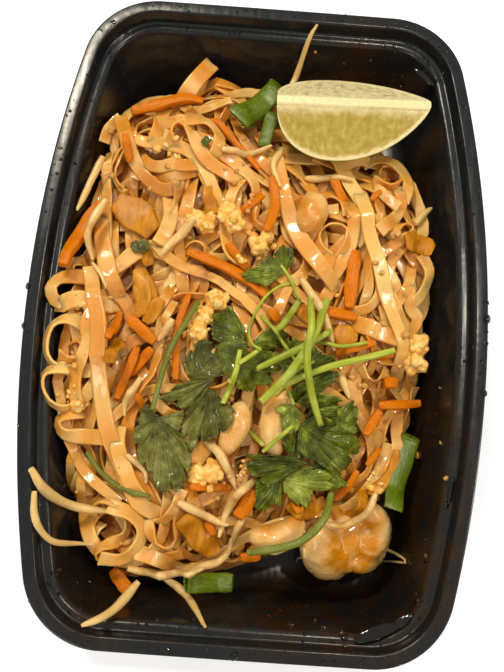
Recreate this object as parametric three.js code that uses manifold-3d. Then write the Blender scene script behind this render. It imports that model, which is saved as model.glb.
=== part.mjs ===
// Pad thai in its takeaway tray: a black bowed tray, a heap of flat rice noodles, and the
// lime, shrimp, egg, carrot, sprouts, scallion and cilantro that lie on the heap.
//
// Millimetres. X runs across the tray, Y along it and Z up. The origin is under the tray's middle.
// Every topping is laid, one after another, on whatever is already in the tray. The noodles are
// fused to the heap afterwards, and each one stops where it would run into a topping.

import * as THREE from 'three';
import { mergeVertices } from 'three/addons/utils/BufferGeometryUtils.js';
import Module from 'manifold-3d';

const wasm = await Module();
wasm.setup();

// ---- Tray ----
const TRAY_HALF_LENGTH = 111;
const TRAY_HALF_WIDTH = 77.4;
const TRAY_HEIGHT = 48;
const LONG_SIDE_BOW = 14.9;
const SHORT_SIDE_BOW = 0.35;
const CORNER_RADIUS = 26.4;
const FLANGE_WIDTH = 4.2;
const LIP_DROP = 2.6;
const LEDGE_WIDTH = 3.1;
const LEDGE_DROP = 5.9;
const WALL_LEAN = 5;
const WALL_FOOT_HEIGHT = 10;
const FOOT_CURVE_WIDTH = 10.5;
const PLASTIC = 0.8;
const FLOOR_THICKNESS = 1;
const RIM_ROUND = 0.5;
const LONG_SIDE_STEPS = 4;
const CORNER_STEPS = 5;
const SHORT_SIDE_STEPS = 2;
const FOOT_STEPS = 4;

// ---- Heap of noodles ----
const HEAP_CENTRE = [-4, -2];
const HEAP_TOP = 39.5;
const HEAP_BASE = 2;
const HEAP_SHOULDER = 3.8;
const HEAP_SPREAD = 1.07;
const HEAP_SPOKES = 36;
const SAMPLES_PER_SPOKE = 20;
const HEAP_RINGS = [0.2, 0.4, 0.56, 0.7, 0.81, 0.9, 0.96, 1.01, 1.05];
// Where the heap's side stands half way up, going round from +X.
const HEAP_SIDE = [
  [67, 0], [70, 18], [69, 36], [61, 50], [54, 62], [46, 76], [30, 88], [8, 92], [-14, 94],
  [-38, 91], [-55, 83], [-66, 68], [-78, 45], [-90, 12], [-90, -20], [-77, -46], [-66, -66],
  [-56, -84], [-40, -93], [-16, -91], [5, -85], [22, -77], [40, -67], [53, -57], [57, -40],
  [60, -27], [64, -14],
];
// Swells and hollows of the heap: place, rise and radius.
const HEAP_LUMPS = [
  [-42, 58, 2.5, 16], [-8, 50, 1.5, 14], [30, 40, 2, 18], [46, 14, -2, 14], [-30, 16, -1.5, 12],
  [6, -16, -1, 22], [-50, -30, 1.5, 14], [-26, -70, 1.5, 14], [14, -62, -2, 14], [24, 74, -9, 18],
  [9, -38, -6, 9], [-6, -41, -4, 8], [17, 38, -5, 8], [12, -73, -4, 9],
];

// ---- Noodles ----
const NOODLE_WIDTH = 5.2;
const NOODLE_THICKNESS = 1.5;
const NOODLE_SHORTEST = 16;
const NOODLE_LONGEST = 76;
const NOODLE_STRIDE = 2;
const NOODLE_STEP = 5.8;
const NOODLE_SINK = 0.1;
const NOODLE_RISE_LIMIT = 3.4;
const NOODLE_LEAN = 0.36;
const NOODLE_LOWEST = 15;
const NOODLE_TRIES = 420;
const NOODLE_COUNT = 25;
const NOODLE_SEED = 20;
const NOODLE_BEND = 0.07;
const NOODLE_WAVE = [0.05, 0.17];
const NOODLE_SWING = 0.9;
const NOODLE_ROLLS = 1.25;

// ---- Gaps and grid ----
const CLEARANCE = 0.4;
const ROOM_ABOVE_RIM = 24;
const CELL = 1;
const GRID_HALF_X = 80;
const GRID_HALF_Y = 114;
const SAMPLE_SPACING = 0.5;
const CORNER_TOLERANCE = 1e-4;
const EASING_PASSES = 14;
const LAYING_STEP = 2;
const STEP_LENGTH = 5;
const FEWEST_STEPS = 4;

const COLOURS = {
  tray: 0x1c1b19, noodle: 0xdfae74, lime: 0xc9bd62, scallion: 0x5f7f16, carrot: 0xf08318,
  egg: 0xf0b861, shrimp: 0xe9b98a, onion: 0xb8763a, sprout: 0xe2cda4, leaf: 0x4f6a24, stem: 0x93ab3c,
};

function finish(name, roughness) {
  return new THREE.MeshStandardMaterial({ color: COLOURS[name], roughness, metalness: 0 });
}

function seeded(seed) {
  let state = seed;
  return () => {
    state = (state + 0x6d2b79f5) | 0;
    let t = Math.imul(state ^ (state >>> 15), 1 | state);
    t = (t + Math.imul(t ^ (t >>> 7), 61 | t)) ^ t;
    return ((t ^ (t >>> 14)) >>> 0) / 4294967296;
  };
}

// ---- Closed meshes and solids ----

function joinedCorners(geometry) {
  geometry.deleteAttribute('normal');
  geometry.deleteAttribute('uv');
  return mergeVertices(geometry, CORNER_TOLERANCE);
}

// Joins shared corners, drops triangles without area and turns the faces outwards.
function closed(geometry) {
  const merged = joinedCorners(geometry);
  const index = merged.index.array;
  const kept = [];
  for (let i = 0; i < index.length; i += 3) {
    const [a, b, c] = [index[i], index[i + 1], index[i + 2]];
    if (a !== b && b !== c && c !== a) kept.push(a, b, c);
  }
  if (signedVolume(merged.attributes.position, kept) < 0) kept.reverse();
  merged.setIndex(kept);
  return merged;
}

function signedVolume(position, index) {
  const [a, b, c] = [new THREE.Vector3(), new THREE.Vector3(), new THREE.Vector3()];
  let volume = 0;
  for (let i = 0; i < index.length; i += 3) {
    a.fromBufferAttribute(position, index[i]);
    b.fromBufferAttribute(position, index[i + 1]);
    c.fromBufferAttribute(position, index[i + 2]);
    volume += a.dot(b.cross(c)) / 6;
  }
  return volume;
}

function toSolid(geometry) {
  const ready = closed(geometry);
  const vertProperties = new Float32Array(ready.attributes.position.array);
  const triVerts = new Uint32Array(ready.index.array);
  return new wasm.Manifold(new wasm.Mesh({ numProp: 3, vertProperties, triVerts }));
}

function fromSolid(solid) {
  const mesh = solid.getMesh();
  const geometry = new THREE.BufferGeometry();
  geometry.setAttribute('position', new THREE.Float32BufferAttribute(mesh.vertProperties, 3));
  geometry.setIndex(Array.from(mesh.triVerts));
  return geometry;
}

// The largest body of a solid, with its sealed hollows filled.
function largestBody(solid) {
  return solid.decompose().reduce((a, b) => (b.volume() > a.volume() ? b : a));
}

function joined(geometries) {
  return largestBody(geometries.map(toSolid).reduce((a, b) => a.add(b)));
}

// ---- The tray's outline ----

function bowRadius(halfChord, bow) {
  return (halfChord ** 2 + bow ** 2) / (2 * bow);
}

function circlesMeet(centreA, radiusA, centreB, radiusB) {
  const between = new THREE.Vector2().subVectors(centreB, centreA);
  const distance = between.length();
  const along = (distance ** 2 + radiusA ** 2 - radiusB ** 2) / (2 * distance);
  const aside = Math.sqrt(radiusA ** 2 - along ** 2);
  between.normalize();
  const x = centreA.x + along * between.x + aside * between.y;
  return new THREE.Vector2(x, centreA.y + along * between.y - aside * between.x);
}

const longRadius = bowRadius(TRAY_HALF_LENGTH, LONG_SIDE_BOW);
const shortRadius = bowRadius(TRAY_HALF_WIDTH, SHORT_SIDE_BOW);
const longCentre = new THREE.Vector2(TRAY_HALF_WIDTH - longRadius, 0);
const shortCentre = new THREE.Vector2(0, TRAY_HALF_LENGTH - shortRadius);
const cornerCentre = circlesMeet(
  shortCentre, shortRadius - CORNER_RADIUS, longCentre, longRadius - CORNER_RADIUS);
const longEnd = new THREE.Vector2().subVectors(cornerCentre, longCentre).angle();
const shortStart = new THREE.Vector2().subVectors(cornerCentre, shortCentre).angle();

function arc(centre, radius, from, to, steps) {
  const points = [];
  for (let i = 0; i < steps; i++) {
    const angle = from + ((to - from) * i) / steps;
    points.push([centre.x + radius * Math.cos(angle), centre.y + radius * Math.sin(angle)]);
  }
  return points;
}

// The rim's outline moved inwards by inset, once round from +X.
function trayRing(inset) {
  const quarter = [
    ...arc(longCentre, longRadius - inset, 0, longEnd, LONG_SIDE_STEPS),
    ...arc(cornerCentre, CORNER_RADIUS - inset, longEnd, shortStart, CORNER_STEPS),
    ...arc(shortCentre, shortRadius - inset, shortStart, Math.PI / 2, SHORT_SIDE_STEPS),
    [0, TRAY_HALF_LENGTH - inset],
  ];
  const half = [...quarter, ...quarter.slice(0, -1).reverse().map(([x, y]) => [-x, y])];
  return [...half, ...half.slice(1, -1).reverse().map(([x, y]) => [x, -y])];
}

// Turns a list of level rings into a closed body: a lathe whose rings take the given outlines.
// A single point in place of a ring is a point on the axis.
function ringBody(rings) {
  const count = Math.max(...rings.map((ring) => ring.outline.length));
  const profile = rings.map((ring, i) => new THREE.Vector2(1 + i, ring.z));
  const geometry = new THREE.LatheGeometry(profile, count);
  const position = geometry.attributes.position;
  for (let i = 0; i <= count; i++) {
    rings.forEach(({ outline, z }, j) => {
      const [x, y, height = z] = outline[i % outline.length];
      position.setXYZ(i * rings.length + j, x, y, height);
    });
  }
  return geometry;
}

function trayProfile(list) {
  return list.map(([inset, z]) => ({ outline: inset === null ? [[0, 0]] : trayRing(inset), z }));
}

// The curve from the wall's foot to the floor, for one face of the plastic.
function footCurve(inset, footHeight, floor) {
  const start = new THREE.Vector2(inset, footHeight);
  const corner = new THREE.Vector2(inset + WALL_LEAN / 4, floor);
  const end = new THREE.Vector2(inset + FOOT_CURVE_WIDTH, floor);
  const curve = new THREE.QuadraticBezierCurve(start, corner, end);
  return curve.getPoints(FOOT_STEPS).map((p) => [p.x, p.y]);
}

const riserInset = FLANGE_WIDTH + RIM_ROUND;
const ledgeHeight = TRAY_HEIGHT - LEDGE_DROP;
const wallTopInset = riserInset + RIM_ROUND + LEDGE_WIDTH;
const wallFootInset = wallTopInset + WALL_LEAN;

// The inner face from the floor's middle up to the flange, moved inwards by gap.
function innerFace(gap) {
  const floor = FLOOR_THICKNESS + gap;
  return [
    [null, floor],
    ...footCurve(wallFootInset + gap, WALL_FOOT_HEIGHT, floor).reverse(),
    [wallTopInset + gap, ledgeHeight - RIM_ROUND],
    [wallTopInset - RIM_ROUND, ledgeHeight + gap],
    [riserInset + RIM_ROUND + gap, ledgeHeight + gap],
    [riserInset + gap, TRAY_HEIGHT - RIM_ROUND],
  ];
}

function trayBody() {
  const lipTop = TRAY_HEIGHT - PLASTIC;
  const outer = [
    [null, 0],
    ...footCurve(wallFootInset - PLASTIC, WALL_FOOT_HEIGHT, 0).reverse(),
    [wallTopInset - PLASTIC, ledgeHeight - PLASTIC],
    [riserInset - PLASTIC, ledgeHeight - PLASTIC],
    [riserInset - PLASTIC, lipTop],
    [PLASTIC, lipTop],
    [PLASTIC, TRAY_HEIGHT - LIP_DROP],
    [0, TRAY_HEIGHT - LIP_DROP],
    [0, TRAY_HEIGHT - RIM_ROUND],
    [RIM_ROUND, TRAY_HEIGHT],
    [FLANGE_WIDTH, TRAY_HEIGHT],
  ];
  return closed(ringBody(trayProfile([...outer, ...innerFace(0).reverse()])));
}

// The room inside the tray, clear of its plastic, open upwards past the rim.
function trayRoom() {
  const above = TRAY_HEIGHT + ROOM_ABOVE_RIM;
  const face = innerFace(CLEARANCE);
  const open = [[riserInset + CLEARANCE, above], [null, above]];
  return toSolid(ringBody(trayProfile([...face, ...open])));
}

// ---- The heap's bare core ----

// Distance from the heap's centre to its side, at HEAP_SPOKES even angles.
function sideDistances() {
  const [cx, cy] = HEAP_CENTRE;
  const points = HEAP_SIDE.map(([x, y]) => new THREE.Vector3(x - cx, y - cy, 0));
  const curve = new THREE.CatmullRomCurve3(points, true);
  const samples = curve.getPoints(HEAP_SPOKES * SAMPLES_PER_SPOKE);
  return Array.from({ length: HEAP_SPOKES }, (_, i) => {
    const direction = (i / HEAP_SPOKES) * 2 * Math.PI;
    const ahead = new THREE.Vector3(Math.cos(direction), Math.sin(direction), 0);
    return samples.reduce((a, b) => (b.angleTo(ahead) < a.angleTo(ahead) ? b : a)).length();
  });
}

const heapSide = sideDistances();

function heapSideAt(angle) {
  const place = ((angle / (2 * Math.PI) + 1) % 1) * HEAP_SPOKES;
  const before = Math.floor(place) % HEAP_SPOKES;
  const after = (before + 1) % HEAP_SPOKES;
  return THREE.MathUtils.lerp(heapSide[before], heapSide[after], place - Math.floor(place));
}

function heapHeight(x, y) {
  const [dx, dy] = [x - HEAP_CENTRE[0], y - HEAP_CENTRE[1]];
  const out = Math.hypot(dx, dy) / heapSideAt(Math.atan2(dy, dx)) / HEAP_SPREAD;
  if (out >= 1) return HEAP_BASE;
  const mound = Math.sqrt(1 - out ** HEAP_SHOULDER);
  const lump = (sum, [lx, ly, rise, radius]) =>
    sum + rise * Math.exp(-((x - lx) ** 2 + (y - ly) ** 2) / (2 * radius ** 2));
  return HEAP_BASE + (HEAP_TOP - HEAP_BASE + HEAP_LUMPS.reduce(lump, 0)) * mound;
}

function heapRing(out) {
  return Array.from({ length: HEAP_SPOKES }, (_, i) => {
    const angle = (i / HEAP_SPOKES) * 2 * Math.PI;
    const x = HEAP_CENTRE[0] + Math.cos(angle) * heapSide[i] * out;
    const y = HEAP_CENTRE[1] + Math.sin(angle) * heapSide[i] * out;
    return [x, y, heapHeight(x, y)];
  });
}

function bareCore(room) {
  const [cx, cy] = HEAP_CENTRE;
  const rings = HEAP_RINGS.map((out) => ({ outline: heapRing(out), z: 0 }));
  const foot = heapRing(HEAP_SPREAD).map(([x, y]) => [x, y, 0]);
  const body = ringBody([
    { outline: [[cx, cy]], z: heapHeight(cx, cy) },
    ...rings,
    { outline: foot, z: 0 },
    { outline: [[cx, cy]], z: 0 },
  ]);
  return largestBody(toSolid(body).intersect(room));
}

// ---- What lies in the tray so far, as a grid of heights ----

class Pile {
  constructor() {
    this.columns = Math.ceil((2 * GRID_HALF_X) / CELL);
    this.rows = Math.ceil((2 * GRID_HALF_Y) / CELL);
    this.heights = new Float32Array(this.columns * this.rows);
    this.covered = new Uint8Array(this.columns * this.rows);
  }

  cell(x, y) {
    const column = THREE.MathUtils.clamp(Math.floor((x + GRID_HALF_X) / CELL), 0, this.columns - 1);
    const row = THREE.MathUtils.clamp(Math.floor((y + GRID_HALF_Y) / CELL), 0, this.rows - 1);
    return row * this.columns + column;
  }

  // Every cell within reach of a place.
  * around(x, y, reach) {
    for (let dx = -reach; dx <= reach; dx += CELL) {
      for (let dy = -reach; dy <= reach; dy += CELL) {
        if (Math.hypot(dx, dy) <= reach + CELL / 2) yield this.cell(x + dx, y + dy);
      }
    }
  }

  top(x, y, reach) {
    let highest = 0;
    for (const cell of this.around(x, y, reach)) highest = Math.max(highest, this.heights[cell]);
    return highest;
  }

  // The height before any topping was laid.
  bareTop(x, y) {
    return this.bare[this.cell(x, y)];
  }

  markBare() {
    this.bare = this.heights.slice();
  }

  isCovered(x, y, reach) {
    for (const cell of this.around(x, y, reach)) {
      if (this.covered[cell]) return true;
    }
    return false;
  }

  add(geometry, isTopping) {
    for (const point of surfacePoints(geometry)) {
      const cell = this.cell(point.x, point.y);
      this.heights[cell] = Math.max(this.heights[cell], point.z);
      if (isTopping) this.covered[cell] = 1;
    }
  }
}

// Points spread evenly over every triangle of a mesh.
function* surfacePoints(geometry) {
  const position = geometry.attributes.position;
  const index = geometry.index.array;
  const [a, b, c] = [new THREE.Vector3(), new THREE.Vector3(), new THREE.Vector3()];
  const point = new THREE.Vector3();
  for (let i = 0; i < index.length; i += 3) {
    a.fromBufferAttribute(position, index[i]);
    b.fromBufferAttribute(position, index[i + 1]);
    c.fromBufferAttribute(position, index[i + 2]);
    const longest = Math.max(a.distanceTo(b), b.distanceTo(c), c.distanceTo(a));
    const steps = Math.ceil(longest / SAMPLE_SPACING);
    for (let u = 0; u <= steps; u++) {
      for (let v = 0; v <= steps - u; v++) {
        point.copy(a).multiplyScalar(steps - u - v);
        point.addScaledVector(b, u);
        point.addScaledVector(c, v);
        yield point.divideScalar(steps);
      }
    }
  }
}

// ---- Shapes that follow a line ----

// Bends a straight body, whose length runs along X from 0 to 1, on to a curve. Its Z stays up,
// turned about the curve by roll(t), and its section is scaled by size(t).
function bend(geometry, curve, roll = () => 0, size = () => 1) {
  const position = geometry.attributes.position;
  const up = new THREE.Vector3();
  const side = new THREE.Vector3();
  for (let i = 0; i < position.count; i++) {
    const t = THREE.MathUtils.clamp(position.getX(i), 0, 1);
    const place = curve.getPointAt(t);
    const ahead = curve.getTangentAt(t);
    side.set(0, 0, 1).cross(ahead).normalize().applyAxisAngle(ahead, roll(t));
    up.crossVectors(ahead, side).normalize();
    place.addScaledVector(side, position.getY(i) * size(t));
    place.addScaledVector(up, position.getZ(i) * size(t));
    position.setXYZ(i, place.x, place.y, place.z);
  }
  return geometry;
}

function ribbonBlank(width, thickness, steps) {
  return new THREE.BoxGeometry(1, width, thickness, steps, 1, 1).translate(0.5, 0, 0);
}

function rodBlank(width, thickness, sides, steps) {
  const rod = new THREE.CylinderGeometry(0.5, 0.5, 1, sides, steps);
  return rod.rotateZ(-Math.PI / 2).scale(1, width, thickness).translate(0.5, 0, 0);
}

function bodyBlank(width, thickness, sides, steps) {
  const body = new THREE.SphereGeometry(0.5, sides, steps);
  return body.rotateZ(-Math.PI / 2).scale(1, width, thickness).translate(0.5, 0, 0);
}

// A smooth line over plan points that stays above the pile.
function layOver(pile, plan, halfWidth, halfThickness) {
  const flat = new THREE.CatmullRomCurve3(plan.map(([x, y]) => new THREE.Vector3(x, y, 0)));
  const count = Math.max(4, Math.ceil(flat.getLength() / LAYING_STEP));
  const points = flat.getSpacedPoints(count);
  const needed = points.map(({ x, y }) => pile.top(x, y, halfWidth) + CLEARANCE + halfThickness);
  const heights = eased(needed);
  return new THREE.CatmullRomCurve3(points.map(({ x, y }, i) => new THREE.Vector3(x, y, heights[i])));
}

// How many steps a body bent on to a curve is cut into.
function stepsAlong(curve) {
  return Math.max(FEWEST_STEPS, Math.round(curve.getLength() / STEP_LENGTH));
}

// Smooths a run of heights without going below any of them.
function eased(needed) {
  let heights = needed;
  for (let pass = 0; pass < EASING_PASSES; pass++) {
    heights = heights.map((height, i) => {
      const before = heights[Math.max(0, i - 1)];
      const after = heights[Math.min(heights.length - 1, i + 1)];
      return Math.max(needed[i], (before + height + after) / 3);
    });
  }
  return heights;
}

// ---- The toppings ----

const pile = new Pile();
const group = new THREE.Group();

function addMesh(name, geometry, material) {
  const mesh = new THREE.Mesh(geometry, material);
  mesh.name = name;
  group.add(mesh);
}

// Lowers or lifts a topping until it just clears what is under it, and leaves it there.
function addTopping(name, geometry, material) {
  const body = closed(geometry);
  let lift = -Infinity;
  for (const point of surfacePoints(body)) {
    lift = Math.max(lift, pile.top(point.x, point.y, CELL) + CLEARANCE - point.z);
  }
  body.translate(0, 0, lift);
  pile.add(body, true);
  addMesh(name, body, material);
}

function addEach(kind, list, shape, material) {
  list.forEach((item, i) => {
    const number = String(i + 1).padStart(2, '0');
    addTopping(`${kind}_${number}`, shape(item), material);
  });
}

const SHRIMP_SIDES = 9;
const SHRIMP_STEPS = 9;
const SHRIMP = [
  { plan: [[26, -70], [27, -78], [35, -84], [40, -80]], width: 14, thickness: 13 },
  { plan: [[41, -62], [46, -70], [47, -79], [43, -84]], width: 10, thickness: 12 },
  { plan: [[3, -74], [12, -75], [20, -68]], width: 9.5, thickness: 10 },
  { plan: [[12, -26], [8, -37], [9, -49]], width: 9, thickness: 9 },
  { plan: [[-3, -31], [-5, -41], [-9, -49]], width: 8.5, thickness: 8 },
  { plan: [[14, 31], [17, 37], [16, 45]], width: 9, thickness: 8 },
];

function shrimp({ plan, width, thickness }) {
  const line = layOver(pile, plan, width / 4, thickness / 3);
  return bend(bodyBlank(width, thickness, SHRIMP_SIDES, SHRIMP_STEPS), line);
}

const EGG = [
  { lumps: [[-24, 31.5, 3], [-20, 30, 3.6]] },
  { lumps: [[-13, 33, 3.4], [-9.8, 30, 3.6]] },
  { lumps: [[-1.5, 23.8, 3.4], [0.6, 26.4, 2.4]] },
  { lumps: [[-14, 2.5, 3.8], [-18, -2.5, 3.6], [-19, -8, 3.2]] },
  { lumps: [[57.5, -6.5, 3.8], [56.5, -12.5, 3.8]] },
  { lumps: [[-16, -56, 3.2], [-11, -54.5, 3.6]] },
  { lumps: [[-60, -31, 2.6], [-57.5, -35, 2.8]] },
];
const EGG_SQUASH = 0.8;
const EGG_SMALLEST = 0.82;
const EGG_UNEVENNESS = 0.36;
const EGG_SEED = 5;
const eggDraw = seeded(EGG_SEED);

function eggClump({ lumps }) {
  const pieces = lumps.map(([x, y, radius]) => {
    const lump = joinedCorners(new THREE.IcosahedronGeometry(radius, 1));
    const position = lump.attributes.position;
    for (let i = 0; i < position.count; i++) {
      const size = EGG_SMALLEST + EGG_UNEVENNESS * eggDraw();
      position.setXYZ(i, position.getX(i) * size, position.getY(i) * size, position.getZ(i) * size);
    }
    return lump.scale(1, 1, EGG_SQUASH).translate(x, y, HEAP_TOP);
  });
  return fromSolid(joined(pieces));
}

const ONION_THICKNESS = 2;
const ONION_STEPS = 5;
const ONION = [
  { plan: [[-53, 37], [-45, 32], [-38, 26]], width: 10 },
  { plan: [[-42, 12], [-39, 4], [-37, -4]], width: 7 },
  { plan: [[27, -3.5], [31, -6], [35, -7]], width: 6.5 },
];

function onionPiece({ plan, width }) {
  const line = layOver(pile, plan, width / 2, ONION_THICKNESS / 2);
  const swell = (t) => 0.75 + 0.5 * Math.sin(Math.PI * t) ** 2;
  const blank = ribbonBlank(width, ONION_THICKNESS, ONION_STEPS);
  return bend(blank, line, () => 0, swell);
}

const CARROT_THICKNESS = 2.4;
const CARROT_TAPER = 0.35;
const CARROTS = [
  { plan: [[-52, 75], [-42, 78.5], [-33, 81.5], [-26, 81]], width: 4 },
  { plan: [[-23, 71], [-19, 70.5], [-13, 63.5], [-3, 52.5]], width: 2.2 },
  { plan: [[-58, 35], [-62, 27], [-65, 18], [-66.5, 10]], width: 4.6 },
  { plan: [[2, 50], [3.6, 40], [2.5, 33], [1, 28]], width: 3.4 },
  { plan: [[24, 54], [28.5, 43]], width: 3.4 },
  { plan: [[-26, 20], [-14, 16], [-4, 11], [3, 6]], width: 3.5 },
  { plan: [[33, 25], [32, 13], [31.5, 4]], width: 4.5 },
  { plan: [[-24, 5], [-27, -8], [-26, -25]], width: 2.6 },
  { plan: [[-44, -5], [-34, -13]], width: 4 },
  { plan: [[-40, -15], [-45, -33]], width: 3 },
  { plan: [[44, -28.5], [52, -27.5], [60, -26]], width: 3.2 },
  { plan: [[44, -30.5], [39.5, -39]], width: 3.2 },
  { plan: [[3.5, -60], [-2, -69]], width: 4.6 },
  { plan: [[-43, -90], [-37, -97]], width: 4.6 },
];

function carrotShred({ plan, width }) {
  const line = layOver(pile, plan, width / 2, CARROT_THICKNESS / 2);
  const taper = (t) => 1 - CARROT_TAPER * Math.abs(2 * t - 1) ** 3;
  return bend(ribbonBlank(width, CARROT_THICKNESS, stepsAlong(line)), line, () => 0, taper);
}

const ROD_SIDES = 5;
const SPROUT_TIP = 0.45;
const SPROUTS = [
  { plan: [[-67.5, -57.5], [-62, -65.5], [-54, -69.5], [-40, -69.5]], width: 3.4 },
  { plan: [[-65, -64], [-64.5, -72], [-60, -79.5], [-50, -81.5]], width: 2.4 },
  { plan: [[-25, -91], [-17, -96], [-9.5, -101.5]], width: 2.8 },
  { plan: [[-33, -92], [-39, -99.5], [-47, -103]], width: 3.2 },
  { plan: [[-59, 53], [-62.5, 42], [-65, 31]], width: 2.8 },
  { plan: [[-55, 35], [-58.5, 27], [-59.5, 20], [-58, 14]], width: 3 },
  { plan: [[4.5, 86], [8, 93], [11, 100], [14, 104]], width: 2.4 },
  { plan: [[43, -58], [40, -65], [33, -69.5], [25, -68]], width: 2.6 },
];

function sprout({ plan, width }) {
  const line = layOver(pile, plan, width / 2, width / 2);
  const taper = (t) => SPROUT_TIP + (1 - SPROUT_TIP) * Math.sin(Math.PI * (0.12 + 0.8 * t));
  return bend(rodBlank(width, width, ROD_SIDES, stepsAlong(line)), line, () => 0, taper);
}

const SCALLION_SIDES = 8;
const SCALLION_STEPS = 3;
const SCALLIONS = [
  { plan: [[-12, 71], [2, 87]], width: 9.5, thickness: 4 },
  { plan: [[-2, 62.5], [0.5, 75]], width: 5, thickness: 2.4 },
  { plan: [[57, -38], [50, -63]], width: 7, thickness: 2.6 },
  { plan: [[-17, -91], [-2, -91.5]], width: 6.5, thickness: 2.4 },
];

function scallionPiece({ plan, width, thickness }) {
  const line = layOver(pile, plan, width / 2, thickness / 2);
  return bend(rodBlank(width, thickness, SCALLION_SIDES, SCALLION_STEPS), line);
}

// ---- Lime ----
const LIME_LENGTH = 54;
const LIME_RADIUS = 20.5;
const LIME_STATIONS = 11;
const LIME_SIDES = 24;
const LIME_FRONT_SLOPE = 25;
const LIME_BACK_SLOPE = 43;
const LIME_PLACE = [28.5, 75.5];
const LIME_TURN = 2;
const LIME_PITH = 1.2;
const LIME_BLUNTNESS = 0.75;
const LIME_POINT = 0.3;

// Its radius at t along its length, blunt at the stem end and pointed at the other.
function limeRadius(t) {
  return LIME_RADIUS * Math.sqrt(Math.sin(Math.PI * t ** LIME_BLUNTNESS)) * (1 - LIME_POINT * t ** 8);
}

// A third of a lime, lying on its rind with the pith edge up.
function limeWedge() {
  const profile = Array.from({ length: LIME_STATIONS + 1 }, (_, i) => {
    const t = (1 - Math.cos((Math.PI * i) / LIME_STATIONS)) / 2;
    const isEnd = i === 0 || i === LIME_STATIONS;
    return new THREE.Vector2(isEnd ? 0 : limeRadius(t), (t - 0.5) * LIME_LENGTH);
  });
  const whole = toSolid(new THREE.LatheGeometry(profile, LIME_SIDES).rotateZ(-Math.PI / 2));
  const reach = LIME_RADIUS * 2;
  const front = THREE.MathUtils.degToRad(180 + LIME_FRONT_SLOPE);
  const back = THREE.MathUtils.degToRad(-LIME_BACK_SLOPE);
  const section = new THREE.Shape();
  section.moveTo(LIME_PITH, 0);
  section.lineTo(LIME_PITH + reach * Math.cos(back), reach * Math.sin(back));
  section.lineTo(0, -reach * 2);
  section.lineTo(-LIME_PITH + reach * Math.cos(front), reach * Math.sin(front));
  section.lineTo(-LIME_PITH, 0);
  const sector = new THREE.ExtrudeGeometry(section, { depth: LIME_LENGTH * 2, bevelEnabled: false });
  sector.translate(0, 0, -LIME_LENGTH);
  sector.applyMatrix4(new THREE.Matrix4().makeBasis(
    new THREE.Vector3(0, 1, 0), new THREE.Vector3(0, 0, 1), new THREE.Vector3(1, 0, 0)));
  const wedge = fromSolid(whole.intersect(toSolid(sector)));
  wedge.rotateZ(THREE.MathUtils.degToRad(LIME_TURN));
  return wedge.translate(LIME_PLACE[0], LIME_PLACE[1], HEAP_TOP);
}

// ---- Cilantro ----
const LEAF_THICKNESS = 0.9;
const LEAF_SPOKES = 20;
const LEAF_RINGS = [0.5, 1];
const LEAF_DRAPE_REACH = 3;
const LEAVES = [
  { place: [3, 19], length: 11, breadth: 7, turn: 35 },
  { place: [-9, -6], length: 9, breadth: 8, turn: 100 },
  { place: [-16.5, -18], length: 8.5, breadth: 8.5, turn: 190 },
  { place: [-30, -47], length: 18, breadth: 11.5, turn: 262 },
  { place: [-14, -35], length: 12.5, breadth: 11.5, turn: -10 },
  { place: [17, -14], length: 13, breadth: 9.5, turn: 20 },
  { place: [29, -40], length: 14, breadth: 11, turn: -60 },
  { place: [12, -54], length: 15, breadth: 9.5, turn: 200 },
];
const LEAF_SEED = 11;
const LEAF_LOBES = 5;
const LEAF_LOBE_DEPTH = 0.13;
const LEAF_TEETH = 9;
const LEAF_TOOTH_DEPTH = 0.06;
const LEAF_RIPPLE = 0.6;
const leafDraw = seeded(LEAF_SEED);

function leafOutline(angle, length, breadth, phase) {
  const lobes = 1 - LEAF_LOBE_DEPTH * (1 - Math.cos(LEAF_LOBES * angle));
  const teeth = 1 + LEAF_TOOTH_DEPTH * Math.sin(LEAF_TEETH * angle + phase);
  return [Math.cos(angle) * length * lobes * teeth, Math.sin(angle) * breadth * lobes * teeth];
}

function leafRing(out, { place, length, breadth, turn }, phase) {
  const heading = THREE.MathUtils.degToRad(turn);
  return Array.from({ length: LEAF_SPOKES }, (_, i) => {
    const angle = (i / LEAF_SPOKES) * 2 * Math.PI;
    const [along, across] = leafOutline(angle, length * out, breadth * out, phase);
    const x = place[0] + along * Math.cos(heading) - across * Math.sin(heading);
    const y = place[1] + along * Math.sin(heading) + across * Math.cos(heading);
    const ripple = LEAF_RIPPLE * out * Math.sin(LEAF_LOBES * angle + phase);
    return [x, y, pile.top(x, y, LEAF_DRAPE_REACH) + LEAF_THICKNESS + ripple];
  });
}

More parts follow.
